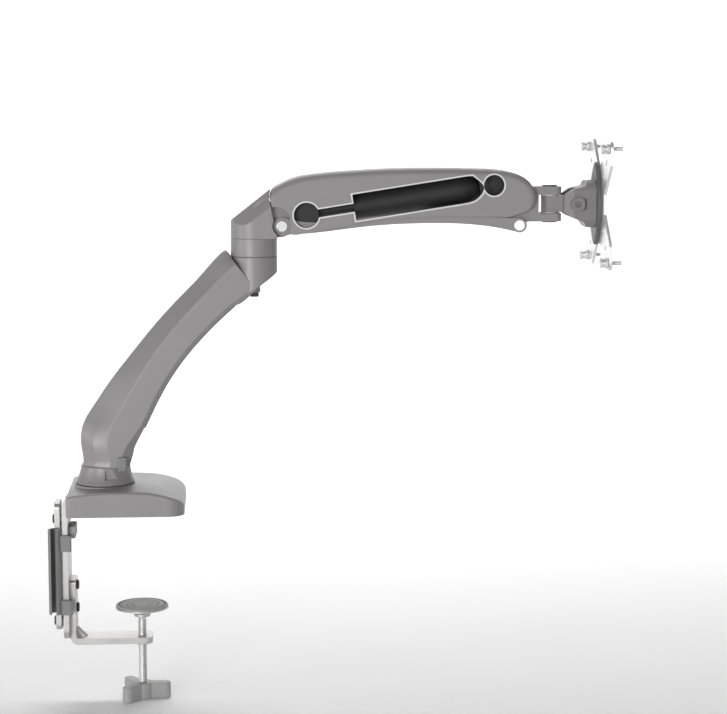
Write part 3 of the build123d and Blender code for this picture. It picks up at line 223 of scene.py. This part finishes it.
# %% Rolling lines group
def build_rolling_lines():
    group, start, end = new_group(
        "rolling lines",
        [("Squeeze", "NodeSocketVector", (900.0, 900.0, 30.0))],
        [("Height", "NodeSocketFloat"), ("Tint", "NodeSocketFloat")],
    )
    where = add_node(group, "ShaderNodeTexCoord")
    squeezed = add_node(group, "ShaderNodeVectorMath", operation="MULTIPLY")
    lines = add_node(group, "ShaderNodeTexNoise", Scale=1.0, Detail=4.0, Roughness=0.6)
    tint = add_node(group, "ShaderNodeMapRange")
    tint.inputs["From Min"].default_value = 0.3
    tint.inputs["From Max"].default_value = 0.7
    join(group, where.outputs["Object"], squeezed.inputs[0])
    join(group, start.outputs["Squeeze"], squeezed.inputs[1])
    join(group, squeezed.outputs["Vector"], lines.inputs["Vector"])
    join(group, lines.outputs["Fac"], tint.inputs["Value"])
    join(group, lines.outputs["Fac"], end.inputs["Height"])
    join(group, tint.outputs["Result"], end.inputs["Tint"])
    return group


rolling_lines = build_rolling_lines()
print("group", rolling_lines.name)

# %% [markdown]
# Settled dust
# Dust lies on faces that look up. The mask is the upward part of the normal, broken by noise, and
# it is kept very weak: this arm is nearly new.


# %% Settled dust group
def build_settled_dust():
    group, start, end = new_group(
        "settled dust", [("Amount", "NodeSocketFloat", 0.1)], [("Mask", "NodeSocketFloat")]
    )
    where = add_node(group, "ShaderNodeTexCoord")
    facing = add_node(group, "ShaderNodeNewGeometry")
    axes = add_node(group, "ShaderNodeSeparateXYZ")
    upward = add_node(group, "ShaderNodeMapRange")
    upward.inputs["From Min"].default_value = 0.55
    upward.inputs["From Max"].default_value = 1.0
    specks = add_node(group, "ShaderNodeTexNoise", Scale=420.0, Detail=5.0, Roughness=0.7)
    lying = add_node(group, "ShaderNodeMath", operation="MULTIPLY")
    scaled = add_node(group, "ShaderNodeMath", operation="MULTIPLY", use_clamp=True)
    join(group, facing.outputs["Normal"], axes.inputs["Vector"])
    join(group, axes.outputs["Z"], upward.inputs["Value"])
    join(group, where.outputs["Object"], specks.inputs["Vector"])
    join(group, upward.outputs["Result"], lying.inputs[0])
    join(group, specks.outputs["Fac"], lying.inputs[1])
    join(group, lying.outputs["Value"], scaled.inputs[0])
    join(group, start.outputs["Amount"], scaled.inputs[1])
    join(group, scaled.outputs["Value"], end.inputs["Mask"])
    return group


settled_dust = build_settled_dust()
print("group", settled_dust.name)

# %% [markdown]
# From groups to a finish
# Every finish here has the same backbone: a base colour that drifts a little, a lighter colour on
# worn corners, a roughness that varies, and a bump. What differs is the values and which grain
# drives the bump. One helper lays the backbone, and each finish below hands it its own grain.


# %% Finish backbone
def place_group(tree, group, **values):
    """Put a shared node group into a material with this material's own values."""
    node = tree.nodes.new("ShaderNodeGroup")
    node.node_tree = group
    for name, value in values.items():
        node.inputs[name].default_value = value
    return node


def mix_colour(tree, mask, first, second, kind="MIX", strength=1.0):
    """Mix a colour or a socket with another colour by a mask."""
    node = add_node(tree, "ShaderNodeMix", data_type="RGBA", blend_type=kind)
    node.inputs[0].default_value = strength
    if mask is not None:
        join(tree, mask, node.inputs[0])
    for slot, value in ((6, first), (7, second)):
        if isinstance(value, tuple):
            node.inputs[slot].default_value = (*value, 1.0)
        else:
            join(tree, value, node.inputs[slot])
    return node.outputs[2]


def lay_finish(name, colours, rough, grain, bump, wear, dust=0.12, metal=0.0, soft_edge=0.0004):
    """A finish: colours are (low, high, worn), rough is (low, high), bump is (strength, depth)."""
    material = bpy.data.materials.new(name)
    material.use_nodes = True
    tree = material.node_tree
    shader = tree.nodes["Principled BSDF"]
    low, high, worn = colours
    grain_node = place_group(tree, grain[0], **grain[1])
    marks = place_group(tree, handling_marks, Low=rough[0], High=rough[1])
    edge = place_group(tree, edge_wear, Width=wear[0], Amount=wear[1])
    dusty = place_group(tree, settled_dust, Amount=dust)
    drift = mix_colour(tree, marks.outputs["Tint"], low, high)
    speckle = mix_colour(tree, grain_node.outputs["Tint"], low, drift)
    toned = mix_colour(tree, None, drift, speckle, strength=0.35)
    rubbed = mix_colour(tree, edge.outputs["Mask"], toned, worn)
    dusted = mix_colour(tree, dusty.outputs["Mask"], rubbed, (0.62, 0.60, 0.58))
    join(tree, dusted, shader.inputs["Base Color"])
    join(tree, marks.outputs["Roughness"], shader.inputs["Roughness"])
    shader.inputs["Metallic"].default_value = metal
    rounded = add_node(tree, "ShaderNodeBevel", samples=4, Radius=soft_edge)
    relief = add_node(tree, "ShaderNodeBump", Strength=bump[0], Distance=bump[1])
    join(tree, grain_node.outputs["Height"], relief.inputs["Height"])
    join(tree, rounded.outputs["Normal"], relief.inputs["Normal"])
    join(tree, relief.outputs["Normal"], shader.inputs["Normal"])
    return material, shader


print("finish backbone ready")

# %% [markdown]
# The paint on the castings
# The base, lower arm, elbow, upper arm and link are aluminium castings in one satin grey paint. It
# has a soft sheen, so long vertical highlights show on the round column. The sheen comes from a
# moderate roughness, and a thin coat adds the second, sharper glint that real lacquer has.

# %% Casting paint
casting_paint, shader = lay_finish(
    "satin grey casting paint",
    colours=((0.215, 0.205, 0.208), (0.245, 0.234, 0.237), (0.38, 0.37, 0.37)),
    rough=(0.36, 0.50),
    grain=(powder_grain, {"Peel": 900.0, "Grit": 3600.0}),
    bump=(0.22, 0.0001),
    wear=(0.0007, 0.45),
    dust=0.10,
)
shader.inputs["Coat Weight"].default_value = 0.12
shader.inputs["Coat Roughness"].default_value = 0.32
print(casting_paint.name)

# %% [markdown]
# Darker paint at the head and the front bracket
# The fork and the tilt head are small castings in a slightly darker coat, so that the moving joint
# reads as a part of its own. The tilt bolt and its nut are painted with the head. Only the colours
# and the grain size change.

# %% Head paint
head_paint, shader = lay_finish(
    "dark grey head paint",
    colours=((0.165, 0.158, 0.160), (0.195, 0.187, 0.190), (0.34, 0.33, 0.33)),
    rough=(0.38, 0.52),
    grain=(powder_grain, {"Peel": 1300.0, "Grit": 4200.0}),
    bump=(0.22, 0.00008),
    wear=(0.0005, 0.5),
)
fork_paint, shader = lay_finish(
    "fork casting paint",
    colours=((0.215, 0.206, 0.209), (0.250, 0.239, 0.243), (0.38, 0.37, 0.37)),
    rough=(0.36, 0.48),
    grain=(powder_grain, {"Peel": 1100.0, "Grit": 4000.0}),
    bump=(0.22, 0.00008),
    wear=(0.0005, 0.5),
)
print(head_paint.name, fork_paint.name)

# %% [markdown]
# Moulded plastic
# The cable holder, its clips, the cover strip and the clamp's knob are injection moulded. A mould
# leaves a fine spark-eroded grain and a waxy, even roughness. The powder group is used again, with
# finer scales and no coat.

# %% Plastics
holder_plastic, shader = lay_finish(
    "grained holder plastic",
    colours=((0.170, 0.168, 0.168), (0.200, 0.197, 0.197), (0.33, 0.33, 0.33)),
    rough=(0.34, 0.46),
    grain=(powder_grain, {"Peel": 2200.0, "Grit": 5200.0}),
    bump=(0.18, 0.00006),
    wear=(0.0004, 0.35),
)
knob_plastic, shader = lay_finish(
    "knob plastic",
    colours=((0.280, 0.276, 0.276), (0.330, 0.326, 0.326), (0.45, 0.45, 0.45)),
    rough=(0.42, 0.58),
    grain=(powder_grain, {"Peel": 2600.0, "Grit": 6000.0}),
    bump=(0.25, 0.00008),
    wear=(0.0006, 0.5),
)
bush_plastic, shader = lay_finish(
    "bush plastic",
    colours=((0.66, 0.65, 0.60), (0.72, 0.71, 0.66), (0.80, 0.80, 0.76)),
    rough=(0.30, 0.40),
    grain=(powder_grain, {"Peel": 2600.0, "Grit": 6000.0}),
    bump=(0.10, 0.00005),
    wear=(0.0003, 0.2),
)
rim_plastic, shader = lay_finish(
    "light window rim",
    colours=((0.62, 0.62, 0.62), (0.70, 0.70, 0.70), (0.80, 0.80, 0.80)),
    rough=(0.36, 0.46),
    grain=(powder_grain, {"Peel": 2600.0, "Grit": 6000.0}),
    bump=(0.10, 0.00005),
    wear=(0.0003, 0.2),
)
print(holder_plastic.name, knob_plastic.name, bush_plastic.name, rim_plastic.name)

# %% [markdown]
# Zinc on pressed steel
# The clamp's upright, rail and jaw are steel strip, bent and then zinc plated. Plating is bright
# but not mirror-like: faint rolling lines run along the strip, and the sheen changes in patches.
# Metallic is high, with a fairly rough surface, so the strip takes the tone of the pale room.

# %% Plated steel
clamp_plating, shader = lay_finish(
    "zinc plated strip",
    colours=((0.46, 0.455, 0.445), (0.55, 0.545, 0.53), (0.72, 0.71, 0.70)),
    rough=(0.34, 0.46),
    grain=(rolling_lines, {"Squeeze": (1500.0, 1500.0, 60.0)}),
    bump=(0.10, 0.00004),
    wear=(0.0004, 0.6),
    metal=0.75,
)
turned_steel, shader = lay_finish(
    "turned bright steel",
    colours=((0.66, 0.66, 0.66), (0.76, 0.76, 0.76), (0.88, 0.88, 0.88)),
    rough=(0.24, 0.36),
    grain=(rolling_lines, {"Squeeze": (300.0, 2600.0, 300.0)}),
    bump=(0.08, 0.00003),
    wear=(0.0003, 0.6),
    metal=0.85,
)
plate_steel, shader = lay_finish(
    "bright display plate",
    colours=((0.70, 0.70, 0.70), (0.80, 0.80, 0.80), (0.90, 0.90, 0.90)),
    rough=(0.28, 0.40),
    grain=(rolling_lines, {"Squeeze": (1500.0, 60.0, 1500.0)}),
    bump=(0.08, 0.00003),
    wear=(0.0003, 0.6),
    metal=0.7,
)
print(clamp_plating.name, turned_steel.name, plate_steel.name)

# %% [markdown]
# Black parts
# Screws are black oxide, a thin oily film on steel that stays a little metallic. The rotate plate
# has a dark powder coat, and the gas spring is painted black, with its rod blackened too.

# %% Black finishes
black_oxide, shader = lay_finish(
    "black oxide",
    colours=((0.050, 0.049, 0.050), (0.075, 0.073, 0.074), (0.22, 0.22, 0.22)),
    rough=(0.32, 0.46),
    grain=(rolling_lines, {"Squeeze": (500.0, 500.0, 2200.0)}),
    bump=(0.08, 0.00003),
    wear=(0.0003, 0.6),
    metal=0.5,
)
plate_powder, shader = lay_finish(
    "dark rotate plate powder",
    colours=((0.085, 0.082, 0.083), (0.105, 0.102, 0.103), (0.26, 0.26, 0.26)),
    rough=(0.42, 0.55),
    grain=(powder_grain, {"Peel": 1500.0, "Grit": 4200.0}),
    bump=(0.25, 0.00008),
    wear=(0.0005, 0.5),
)
spring_black, shader = lay_finish(
    "black spring paint",
    colours=((0.010, 0.010, 0.010), (0.015, 0.015, 0.015), (0.04, 0.04, 0.04)),
    rough=(0.55, 0.68),
    grain=(powder_grain, {"Peel": 1500.0, "Grit": 4200.0}),
    bump=(0.15, 0.00006),
    wear=(0.0003, 0.3),
    dust=0.03,
)
print(black_oxide.name, plate_powder.name, spring_black.name)

# %% [markdown]
# Rubber and foam
# The pads that touch the desk are matt and slightly open-celled. A stronger, coarser bump and a
# high roughness tell them from the plastic, and a little sheen gives the powdery edge of rubber.

# %% Soft finishes
pad_rubber, shader = lay_finish(
    "matt pad rubber",
    colours=((0.340, 0.337, 0.334), (0.390, 0.387, 0.384), (0.48, 0.48, 0.48)),
    rough=(0.70, 0.85),
    grain=(powder_grain, {"Peel": 1200.0, "Grit": 3000.0}),
    bump=(0.45, 0.00015),
    wear=(0.0006, 0.3),
    dust=0.3,
)
shader.inputs["Sheen Weight"].default_value = 0.15
base_foam, shader = lay_finish(
    "closed cell foam",
    colours=((0.120, 0.118, 0.117), (0.150, 0.148, 0.146), (0.20, 0.20, 0.20)),
    rough=(0.80, 0.95),
    grain=(powder_grain, {"Peel": 700.0, "Grit": 1600.0}),
    bump=(0.7, 0.0003),
    wear=(0.0006, 0.2),
)
shader.inputs["Sheen Weight"].default_value = 0.2
print(pad_rubber.name, base_foam.name)

# %% [markdown]
# Which part gets which finish
# The CAD parts keep their shapes. A table in plain words gives each finish its parts, and every
# part is checked to be in it once.

# %% Give the parts their finishes
finish_of = {
    casting_paint: "base_housing lower_arm swivel_collar elbow_bracket elbow_ring upper_arm_shell lower_link",
    fork_paint: "front_bracket pan_block",
    head_paint: "tilt_head tilt_bolt tilt_nut",
    holder_plastic: "cable_holder cable_holder_clips lower_arm_cable_cover cable_exit_clip",
    knob_plastic: "clamp_knob",
    bush_plastic: "swivel_bushes elbow_bushes pan_washers",
    rim_plastic: "window_rim",
    clamp_plating: "clamp_upright clamp_rail clamp_jaw rail_spacers jaw_nut clamp_pad",
    turned_steel: "rear_lower_pin front_lower_pin rear_upper_pin front_upper_pin swivel_post elbow_post "
    "clamp_screw",
    plate_steel: "vesa_plate vesa_thumbscrews",
    black_oxide: "post_screws housing_screws swivel_bolt swivel_washer rail_screws jaw_screws elbow_bolt "
    "pan_bolt rotate_bolt base_plate",
    plate_powder: "rotate_plate",
    spring_black: "gas_spring_cylinder gas_spring_tail_eye gas_spring_gland gas_spring_rod "
    "gas_spring_rod_eye gas_spring_piston spring_anchor_pin spring_mount_pin",
    pad_rubber: "pad_rubber edge_bumper",
    base_foam: "base_foam_pad",
}
finished = []
for finish, names in finish_of.items():
    for name in names.split():
        part = parts[name]
        part.data.materials.clear()
        part.data.materials.append(finish)
        finished.append(name)
print("finished", len(finished), "of", len(parts), "missing", sorted(set(parts) - set(finished)))

# %% [markdown]
# Round pieces from a turned profile
# A lathe turns a profile about an axis. Blender could do it with the Screw modifier, but a thread
# or a knurl needs the radius to change with the angle too. So the helper below lays a grid of
# points around the axis and asks a function for each radius.


# %% Turning helper
def turned_piece(name, axis_point, axis, levels, radius_at, around=48):
    """A closed round mesh: levels are distances along the axis, radius_at(angle, index) its size."""
    along = Vector(axis).normalized()
    side = along.orthogonal().normalized()
    across = along.cross(side)
    points = []
    for index, level in enumerate(levels):
        for step in range(around):
            angle = 2 * math.pi * step / around
            reach = radius_at(angle, index)
            spoke = side * math.cos(angle) + across * math.sin(angle)
            points.append(Vector(axis_point) + along * level + spoke * reach)
    faces = []
    for index in range(len(levels) - 1):
        for step in range(around):
            a = index * around + step
            b = index * around + (step + 1) % around
            faces.append((a, b, b + around, a + around))
    faces.append(tuple(reversed(range(around))))
    last = (len(levels) - 1) * around
    faces.append(tuple(range(last, last + around)))
    mesh = bpy.data.meshes.new(name)
    mesh.from_pydata([tuple(point) for point in points], [], faces)
    mesh.update()
    piece = bpy.data.objects.new(name, mesh)
    bpy.context.scene.collection.objects.link(piece)
    return piece


def smooth_by_angle(piece, degrees=35.0):
    """Smooth shading that stays crisp at corners sharper than the angle."""
    mesh = piece.data
    mesh.polygons.foreach_set("use_smooth", [True] * len(mesh.polygons))
    mesh.set_sharp_from_angle(angle=math.radians(degrees))


print("turning helper ready")

# %% [markdown]
# The clamp screw
# It is an M8 screw with a ball at its top, on which the pad tilts. Its thread is a real helix here,
# 1.25 mm a turn. Sweeping a triangle along a helix would leave a seam to weld, so the rod's own
# surface is waved instead: the radius falls and rises as the height and the angle go round.

# %% Threaded clamp screw
screw_low, screw_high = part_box("clamp_screw")
screw_axis = (0.5 * (screw_low.x + screw_high.x), 0.0, 0.0)
ball_radius = 0.5 * (screw_high.x - screw_low.x)
ball_centre = screw_high.z - ball_radius
crest, root, pitch = 0.0040, 0.0034, 0.00125
neck_top = ball_centre - math.sqrt(ball_radius**2 - root**2)
neck_length = 0.0022
thread_top = neck_top - neck_length

screw_levels = []
screw_kinds = []
level = screw_low.z
while level < thread_top:
    screw_levels.append(level)
    screw_kinds.append("thread")
    level += pitch / 8
for level in (thread_top, neck_top):
    screw_levels.append(level)
    screw_kinds.append("neck")
tilt_start = math.asin(root / ball_radius)
for step in range(1, 13):
    tilt = tilt_start + (math.pi - 0.02 - tilt_start) * step / 12
    screw_levels.append(ball_centre - ball_radius * math.cos(tilt))
    screw_kinds.append(ball_radius * math.sin(tilt))


def screw_radius(angle, index):
    """Radius of the screw: waved on the thread, plain on the neck, round on the ball."""
    kind = screw_kinds[index]
    if kind == "neck":
        return root
    if kind != "thread":
        return kind
    phase = (screw_levels[index] / pitch - angle / (2 * math.pi)) % 1.0
    ridge = 1.0 - abs(2.0 * phase - 1.0)
    depth = min(1.0, max(0.0, ridge * 1.3 - 0.12))
    return root + (crest - root) * depth


threaded_screw = turned_piece(
    "threaded_clamp_screw", screw_axis, (0, 0, 1), screw_levels, screw_radius, around=40
)
smooth_by_angle(threaded_screw, 50)
threaded_screw.data.materials.append(turned_steel)
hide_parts("clamp_screw")
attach(threaded_screw, "clamp_screw")
print("screw length mm", round(1000 * (screw_high.z - screw_low.z), 1))
print("screw points", len(threaded_screw.data.vertices))

# %% [markdown]
# The thumbscrews
# Four thumbscrews hold the display to the plate. Each is two thin knurled discs on an M4 shank.
# The knurl is a row of teeth round the rim. A texture would look flat at the silhouette, so the
# teeth are real points on the mesh.

# %% Knurled thumbscrews
thumb_low, thumb_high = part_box("vesa_thumbscrews")
plate_low, plate_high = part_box("vesa_plate")
disc = 0.0046
shank = 0.0020
thread_pitch, thread_depth = 0.0007, 0.0003
knurl_teeth, knurl_depth = 24, 0.00022
back = plate_low.x
end = thumb_high.x
profile = [
    (thumb_low.x, 0.0036, 0), (thumb_low.x + 0.0003, disc - 0.0002, 1), (back - 0.0049, disc, 1),
    (back - 0.0044, disc - 0.0004, 1), (back - 0.0043, 0.0034, 0), (back - 0.0031, 0.0034, 0),
    (back - 0.0030, disc - 0.0004, 1), (back - 0.0026, disc, 1), (back - 0.0004, disc, 1),
    (back - 0.0001, disc - 0.0004, 1), (back, shank, 0), (plate_high.x, shank, 0),
]
thread_rows = 64
for row in range(thread_rows + 1):
    profile.append((plate_high.x + 0.0002 + (end - 0.0004 - plate_high.x) * row / thread_rows, shank, 2))
profile.append((end, 0.0014, 0))


def thumb_radius(angle, index):
    """Radius of the thumbscrew: teeth on the discs, a fine thread on the shank."""
    place, radius, kind = profile[index]
    if kind == 1:
        return radius - knurl_depth * (0.5 + 0.5 * math.cos(knurl_teeth * angle))
    if kind == 2:
        phase = (place / thread_pitch - angle / (2 * math.pi)) % 1.0
        return radius - thread_depth * abs(2.0 * phase - 1.0)
    return radius


reach_y = thumb_high.y - disc
middle_z = 0.5 * (thumb_low.z + thumb_high.z)
reach_z = thumb_high.z - middle_z - disc
count = 0
for side_y in (-reach_y, reach_y):
    for side_z in (-reach_z, reach_z):
        count += 1
        thumb = turned_piece(
            "knurled_thumbscrew_%d" % count,
            (0.0, side_y, middle_z + side_z),
            (1, 0, 0),
            [place for place, radius, kind in profile],
            thumb_radius,
            around=72,
        )
        smooth_by_angle(thumb, 40)
        thumb.data.materials.append(plate_steel)
        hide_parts("vesa_thumbscrews")
        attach(thumb, "vesa_head")
print("thumbscrews", count, "square mm", round(2000 * reach_y, 1), round(2000 * reach_z, 1))

# %% [markdown]
# The ribbed clamp pad
# A disc of rubber is glued on the steel pad. Shallow rings on its face grip the desk's underside.
# It is turned from a profile with a rounded rim and three rings.

# %% Ribbed pad
rubber_low, rubber_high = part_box("pad_rubber")
pad_radius = 0.5 * (rubber_high.x - rubber_low.x)
pad_centre = 0.5 * (rubber_high.x + rubber_low.x)
pad_rows = [
    (rubber_low.z, pad_radius - 0.0006), (rubber_low.z + 0.0003, pad_radius - 0.0001),
    (rubber_high.z - 0.0008, pad_radius), (rubber_high.z - 0.0003, pad_radius - 0.0003),
    (rubber_high.z, pad_radius - 0.0009), (rubber_high.z, pad_radius - 0.0026),
]
for ring in (0.0205, 0.0150, 0.0095):
    pad_rows += [
        (rubber_high.z, ring + 0.0008), (rubber_high.z - 0.0005, ring + 0.0004),
        (rubber_high.z - 0.0005, ring - 0.0004), (rubber_high.z, ring - 0.0008),
    ]
pad_rows.append((rubber_high.z, 0.0020))
pad_face = turned_piece(
    "ribbed_pad_face",
    (pad_centre, 0.0, 0.0),
    (0, 0, 1),
    [level for level, radius in pad_rows],
    lambda angle, index: pad_rows[index][1],
    around=96,
)
smooth_by_angle(pad_face, 40)
pad_face.data.materials.append(pad_rubber)
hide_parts("pad_rubber")
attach(pad_face, "clamp_foot")
print("pad across mm", round(2000 * pad_radius, 1))

# %% [markdown]
# Foam under the base, and the edge bumper
# Foam is cut from sheet, so its corners are round in plan and its edge bulges a little under the
# base's weight. Both pads are one rounded outline, stacked in rows whose inset changes with height.


# %% Cut pads
def cut_pad(name, low, high, corner, bulge, finish, upright_axis):
    """A pad filling a box, with round corners seen along one axis and a bulging edge."""
    order = {"z": (0, 1, 2), "x": (1, 2, 0)}[upright_axis]
    first, second, third = order
    centre = [(low[first] + high[first]) / 2, (low[second] + high[second]) / 2]
    half = [(high[first] - low[first]) / 2, (high[second] - low[second]) / 2]
    thick = high[third] - low[third]
    rows = [(0.0, 1.3), (0.08, 0.6), (0.25, 0.1), (0.5, 0.0), (0.75, 0.1), (0.92, 0.6), (1.0, 1.3)]
    per_corner = 8
    points = []
    for share, inset in rows:
        pull = bulge * inset
        for turn in range(4):
            sign = ((1, 1), (-1, 1), (-1, -1), (1, -1))[turn]
            for step in range(per_corner + 1):
                angle = math.pi / 2 * (turn + step / per_corner)
                place = [0.0, 0.0, 0.0]
                place[first] = centre[0] + sign[0] * (half[0] - corner) + (corner - pull) * math.cos(angle)
                place[second] = centre[1] + sign[1] * (half[1] - corner) + (corner - pull) * math.sin(angle)
                place[third] = low[third] + thick * share
                points.append(place)
    around = 4 * (per_corner + 1)
    faces = []
    for row in range(len(rows) - 1):
        for step in range(around):
            a = row * around + step
            b = row * around + (step + 1) % around
            faces.append((a, b, b + around, a + around))
    faces.append(tuple(reversed(range(around))))
    last = (len(rows) - 1) * around
    faces.append(tuple(range(last, last + around)))
    mesh = bpy.data.meshes.new(name)
    mesh.from_pydata(points, [], faces)
    mesh.update()
    piece = bpy.data.objects.new(name, mesh)
    bpy.context.scene.collection.objects.link(piece)
    smooth_by_angle(piece, 40)
    mesh.materials.append(finish)
    return piece


edge_bulge = 0.0004
foam_corner = 0.009
bumper_corner = 0.0015
foam = cut_pad(
    "foam_under_base", *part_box("base_foam_pad"), foam_corner, edge_bulge, base_foam, "z"
)
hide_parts("base_foam_pad")
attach(foam, "base")
bumper = cut_pad(
    "moulded_edge_bumper", *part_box("edge_bumper"), bumper_corner, edge_bulge, pad_rubber, "x"
)
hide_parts("edge_bumper")
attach(bumper, "base")
for pad in (foam, bumper):
    print(pad.name, "mm", [round(1000 * v, 1) for v in pad.dimensions])

# %% [markdown]
# The room
# A pale sweep stands behind and below the arm, so that the light is even and no horizon shows from
# the front. A sweep is a floor that curves up into a wall. It isn't part of the arm.

# %% Pale sweep
floor_level = cad_bounds[0][2]
half_width = 12.0
floor_front, bend_start, bend_radius, wall_height = -14.0, 2.2, 1.2, 5.0
bend_steps = 12
sweep_rows = [(floor_front, 0.0)]
for step in range(bend_steps + 1):
    angle = math.pi / 2 * step / bend_steps
    depth = bend_start + bend_radius * math.sin(angle)
    sweep_rows.append((depth, bend_radius - bend_radius * math.cos(angle)))
sweep_rows.append((bend_start + bend_radius, wall_height))
sweep_points = []
for depth, rise in sweep_rows:
    sweep_points += [(-half_width, depth, floor_level + rise), (half_width, depth, floor_level + rise)]
sweep_faces = [(2 * row, 2 * row + 1, 2 * row + 3, 2 * row + 2) for row in range(len(sweep_rows) - 1)]
sweep_mesh = bpy.data.meshes.new("pale_sweep")
sweep_mesh.from_pydata(sweep_points, [], sweep_faces)
sweep_mesh.polygons.foreach_set("use_smooth", [True] * len(sweep_faces))
sweep = bpy.data.objects.new("pale_sweep", sweep_mesh)
bpy.context.scene.collection.objects.link(sweep)
paper = bpy.data.materials.new("pale paper")
paper.use_nodes = True
paper_shader = paper.node_tree.nodes["Principled BSDF"]
fibre = add_node(paper.node_tree, "ShaderNodeTexNoise", Scale=60.0, Detail=4.0)
tone = mix_colour(paper.node_tree, fibre.outputs["Fac"], (0.90, 0.90, 0.90), (0.94, 0.94, 0.94))
join(paper.node_tree, tone, paper_shader.inputs["Base Color"])
paper_shader.inputs["Roughness"].default_value = 0.9
sweep_mesh.materials.append(paper)
print("sweep rows", len(sweep_rows))

# %% [markdown]
# Light
# Soft light from large panels gives the long, mild highlights of satin paint. A panel in front and
# to the left is the main light, weaker ones on the right and on the far left shape the round
# column, and a last one lights the wall behind. The ceiling is darker than the walls, so faces that
# look up are a shade deeper than the sides.


# %% Lights
def soft_panel(name, place, aim, size, power):
    """A square soft light that looks at a point."""
    lamp = bpy.data.lights.new(name, "AREA")
    lamp.shape = "SQUARE"
    lamp.size = size
    lamp.energy = power
    panel = bpy.data.objects.new(name, lamp)
    panel.location = place
    panel.rotation_euler = (Vector(aim) - Vector(place)).to_track_quat("-Z", "Y").to_euler()
    bpy.context.scene.collection.objects.link(panel)
    return panel


middle = (0.2, 0.0, 0.15)
soft_panel("front left panel", (-1.0, -2.5, 0.15), middle, 0.9, 44.0)
soft_panel("front right panel", (1.0, -2.8, 0.30), middle, 1.2, 9.0)
soft_panel("left edge panel", (-2.4, -0.9, 0.35), middle, 0.7, 14.0)
soft_panel("wall panel", (0.3, 1.3, 2.6), (0.3, 3.4, 0.9), 2.4, 120.0)

room = bpy.data.worlds.new("white room")
room.use_nodes = True
sky = room.node_tree.nodes["Background"]
height = add_node(room.node_tree, "ShaderNodeTexCoord")
level_split = add_node(room.node_tree, "ShaderNodeSeparateXYZ")
ceiling = add_node(room.node_tree, "ShaderNodeValToRGB")
ceiling.color_ramp.elements[0].position = 0.10
ceiling.color_ramp.elements[0].color = (0.62, 0.62, 0.62, 1.0)
ceiling.color_ramp.elements[1].position = 0.65
ceiling.color_ramp.elements[1].color = (0.10, 0.10, 0.10, 1.0)
join(room.node_tree, height.outputs["Generated"], level_split.inputs["Vector"])
join(room.node_tree, level_split.outputs["Z"], ceiling.inputs["Fac"])
join(room.node_tree, ceiling.outputs["Color"], sky.inputs["Color"])
sky.inputs["Strength"].default_value = 1.0
bpy.context.scene.world = room
bpy.context.scene.view_settings.view_transform = "Standard"

# %% [markdown]
# Camera
# A long lens a good way off keeps the arm's proportions true, nearly as a side view, with a slight
# look down that shows the top of the pad and the base.

# %% Camera
lens = bpy.data.cameras.new("camera")
lens.sensor_width = 36.0
lens.lens = 99.0
lens.clip_end = 50.0
camera = bpy.data.objects.new("camera", lens)
camera.location = (0.11485, -1.78623, 0.36560)
target = Vector((0.23349, 0.0, 0.13469))
camera.rotation_euler = (target - camera.location).to_track_quat("-Z", "Y").to_euler()
bpy.context.scene.collection.objects.link(camera)
bpy.context.scene.camera = camera
print("camera distance", round((target - camera.location).length, 3))

# %% [markdown]
# Last update
# The view layer is brought up to date at the end. The finished model must not be bigger than the
# CAD parts.

# %% Update the view layer
bpy.context.view_layer.update()
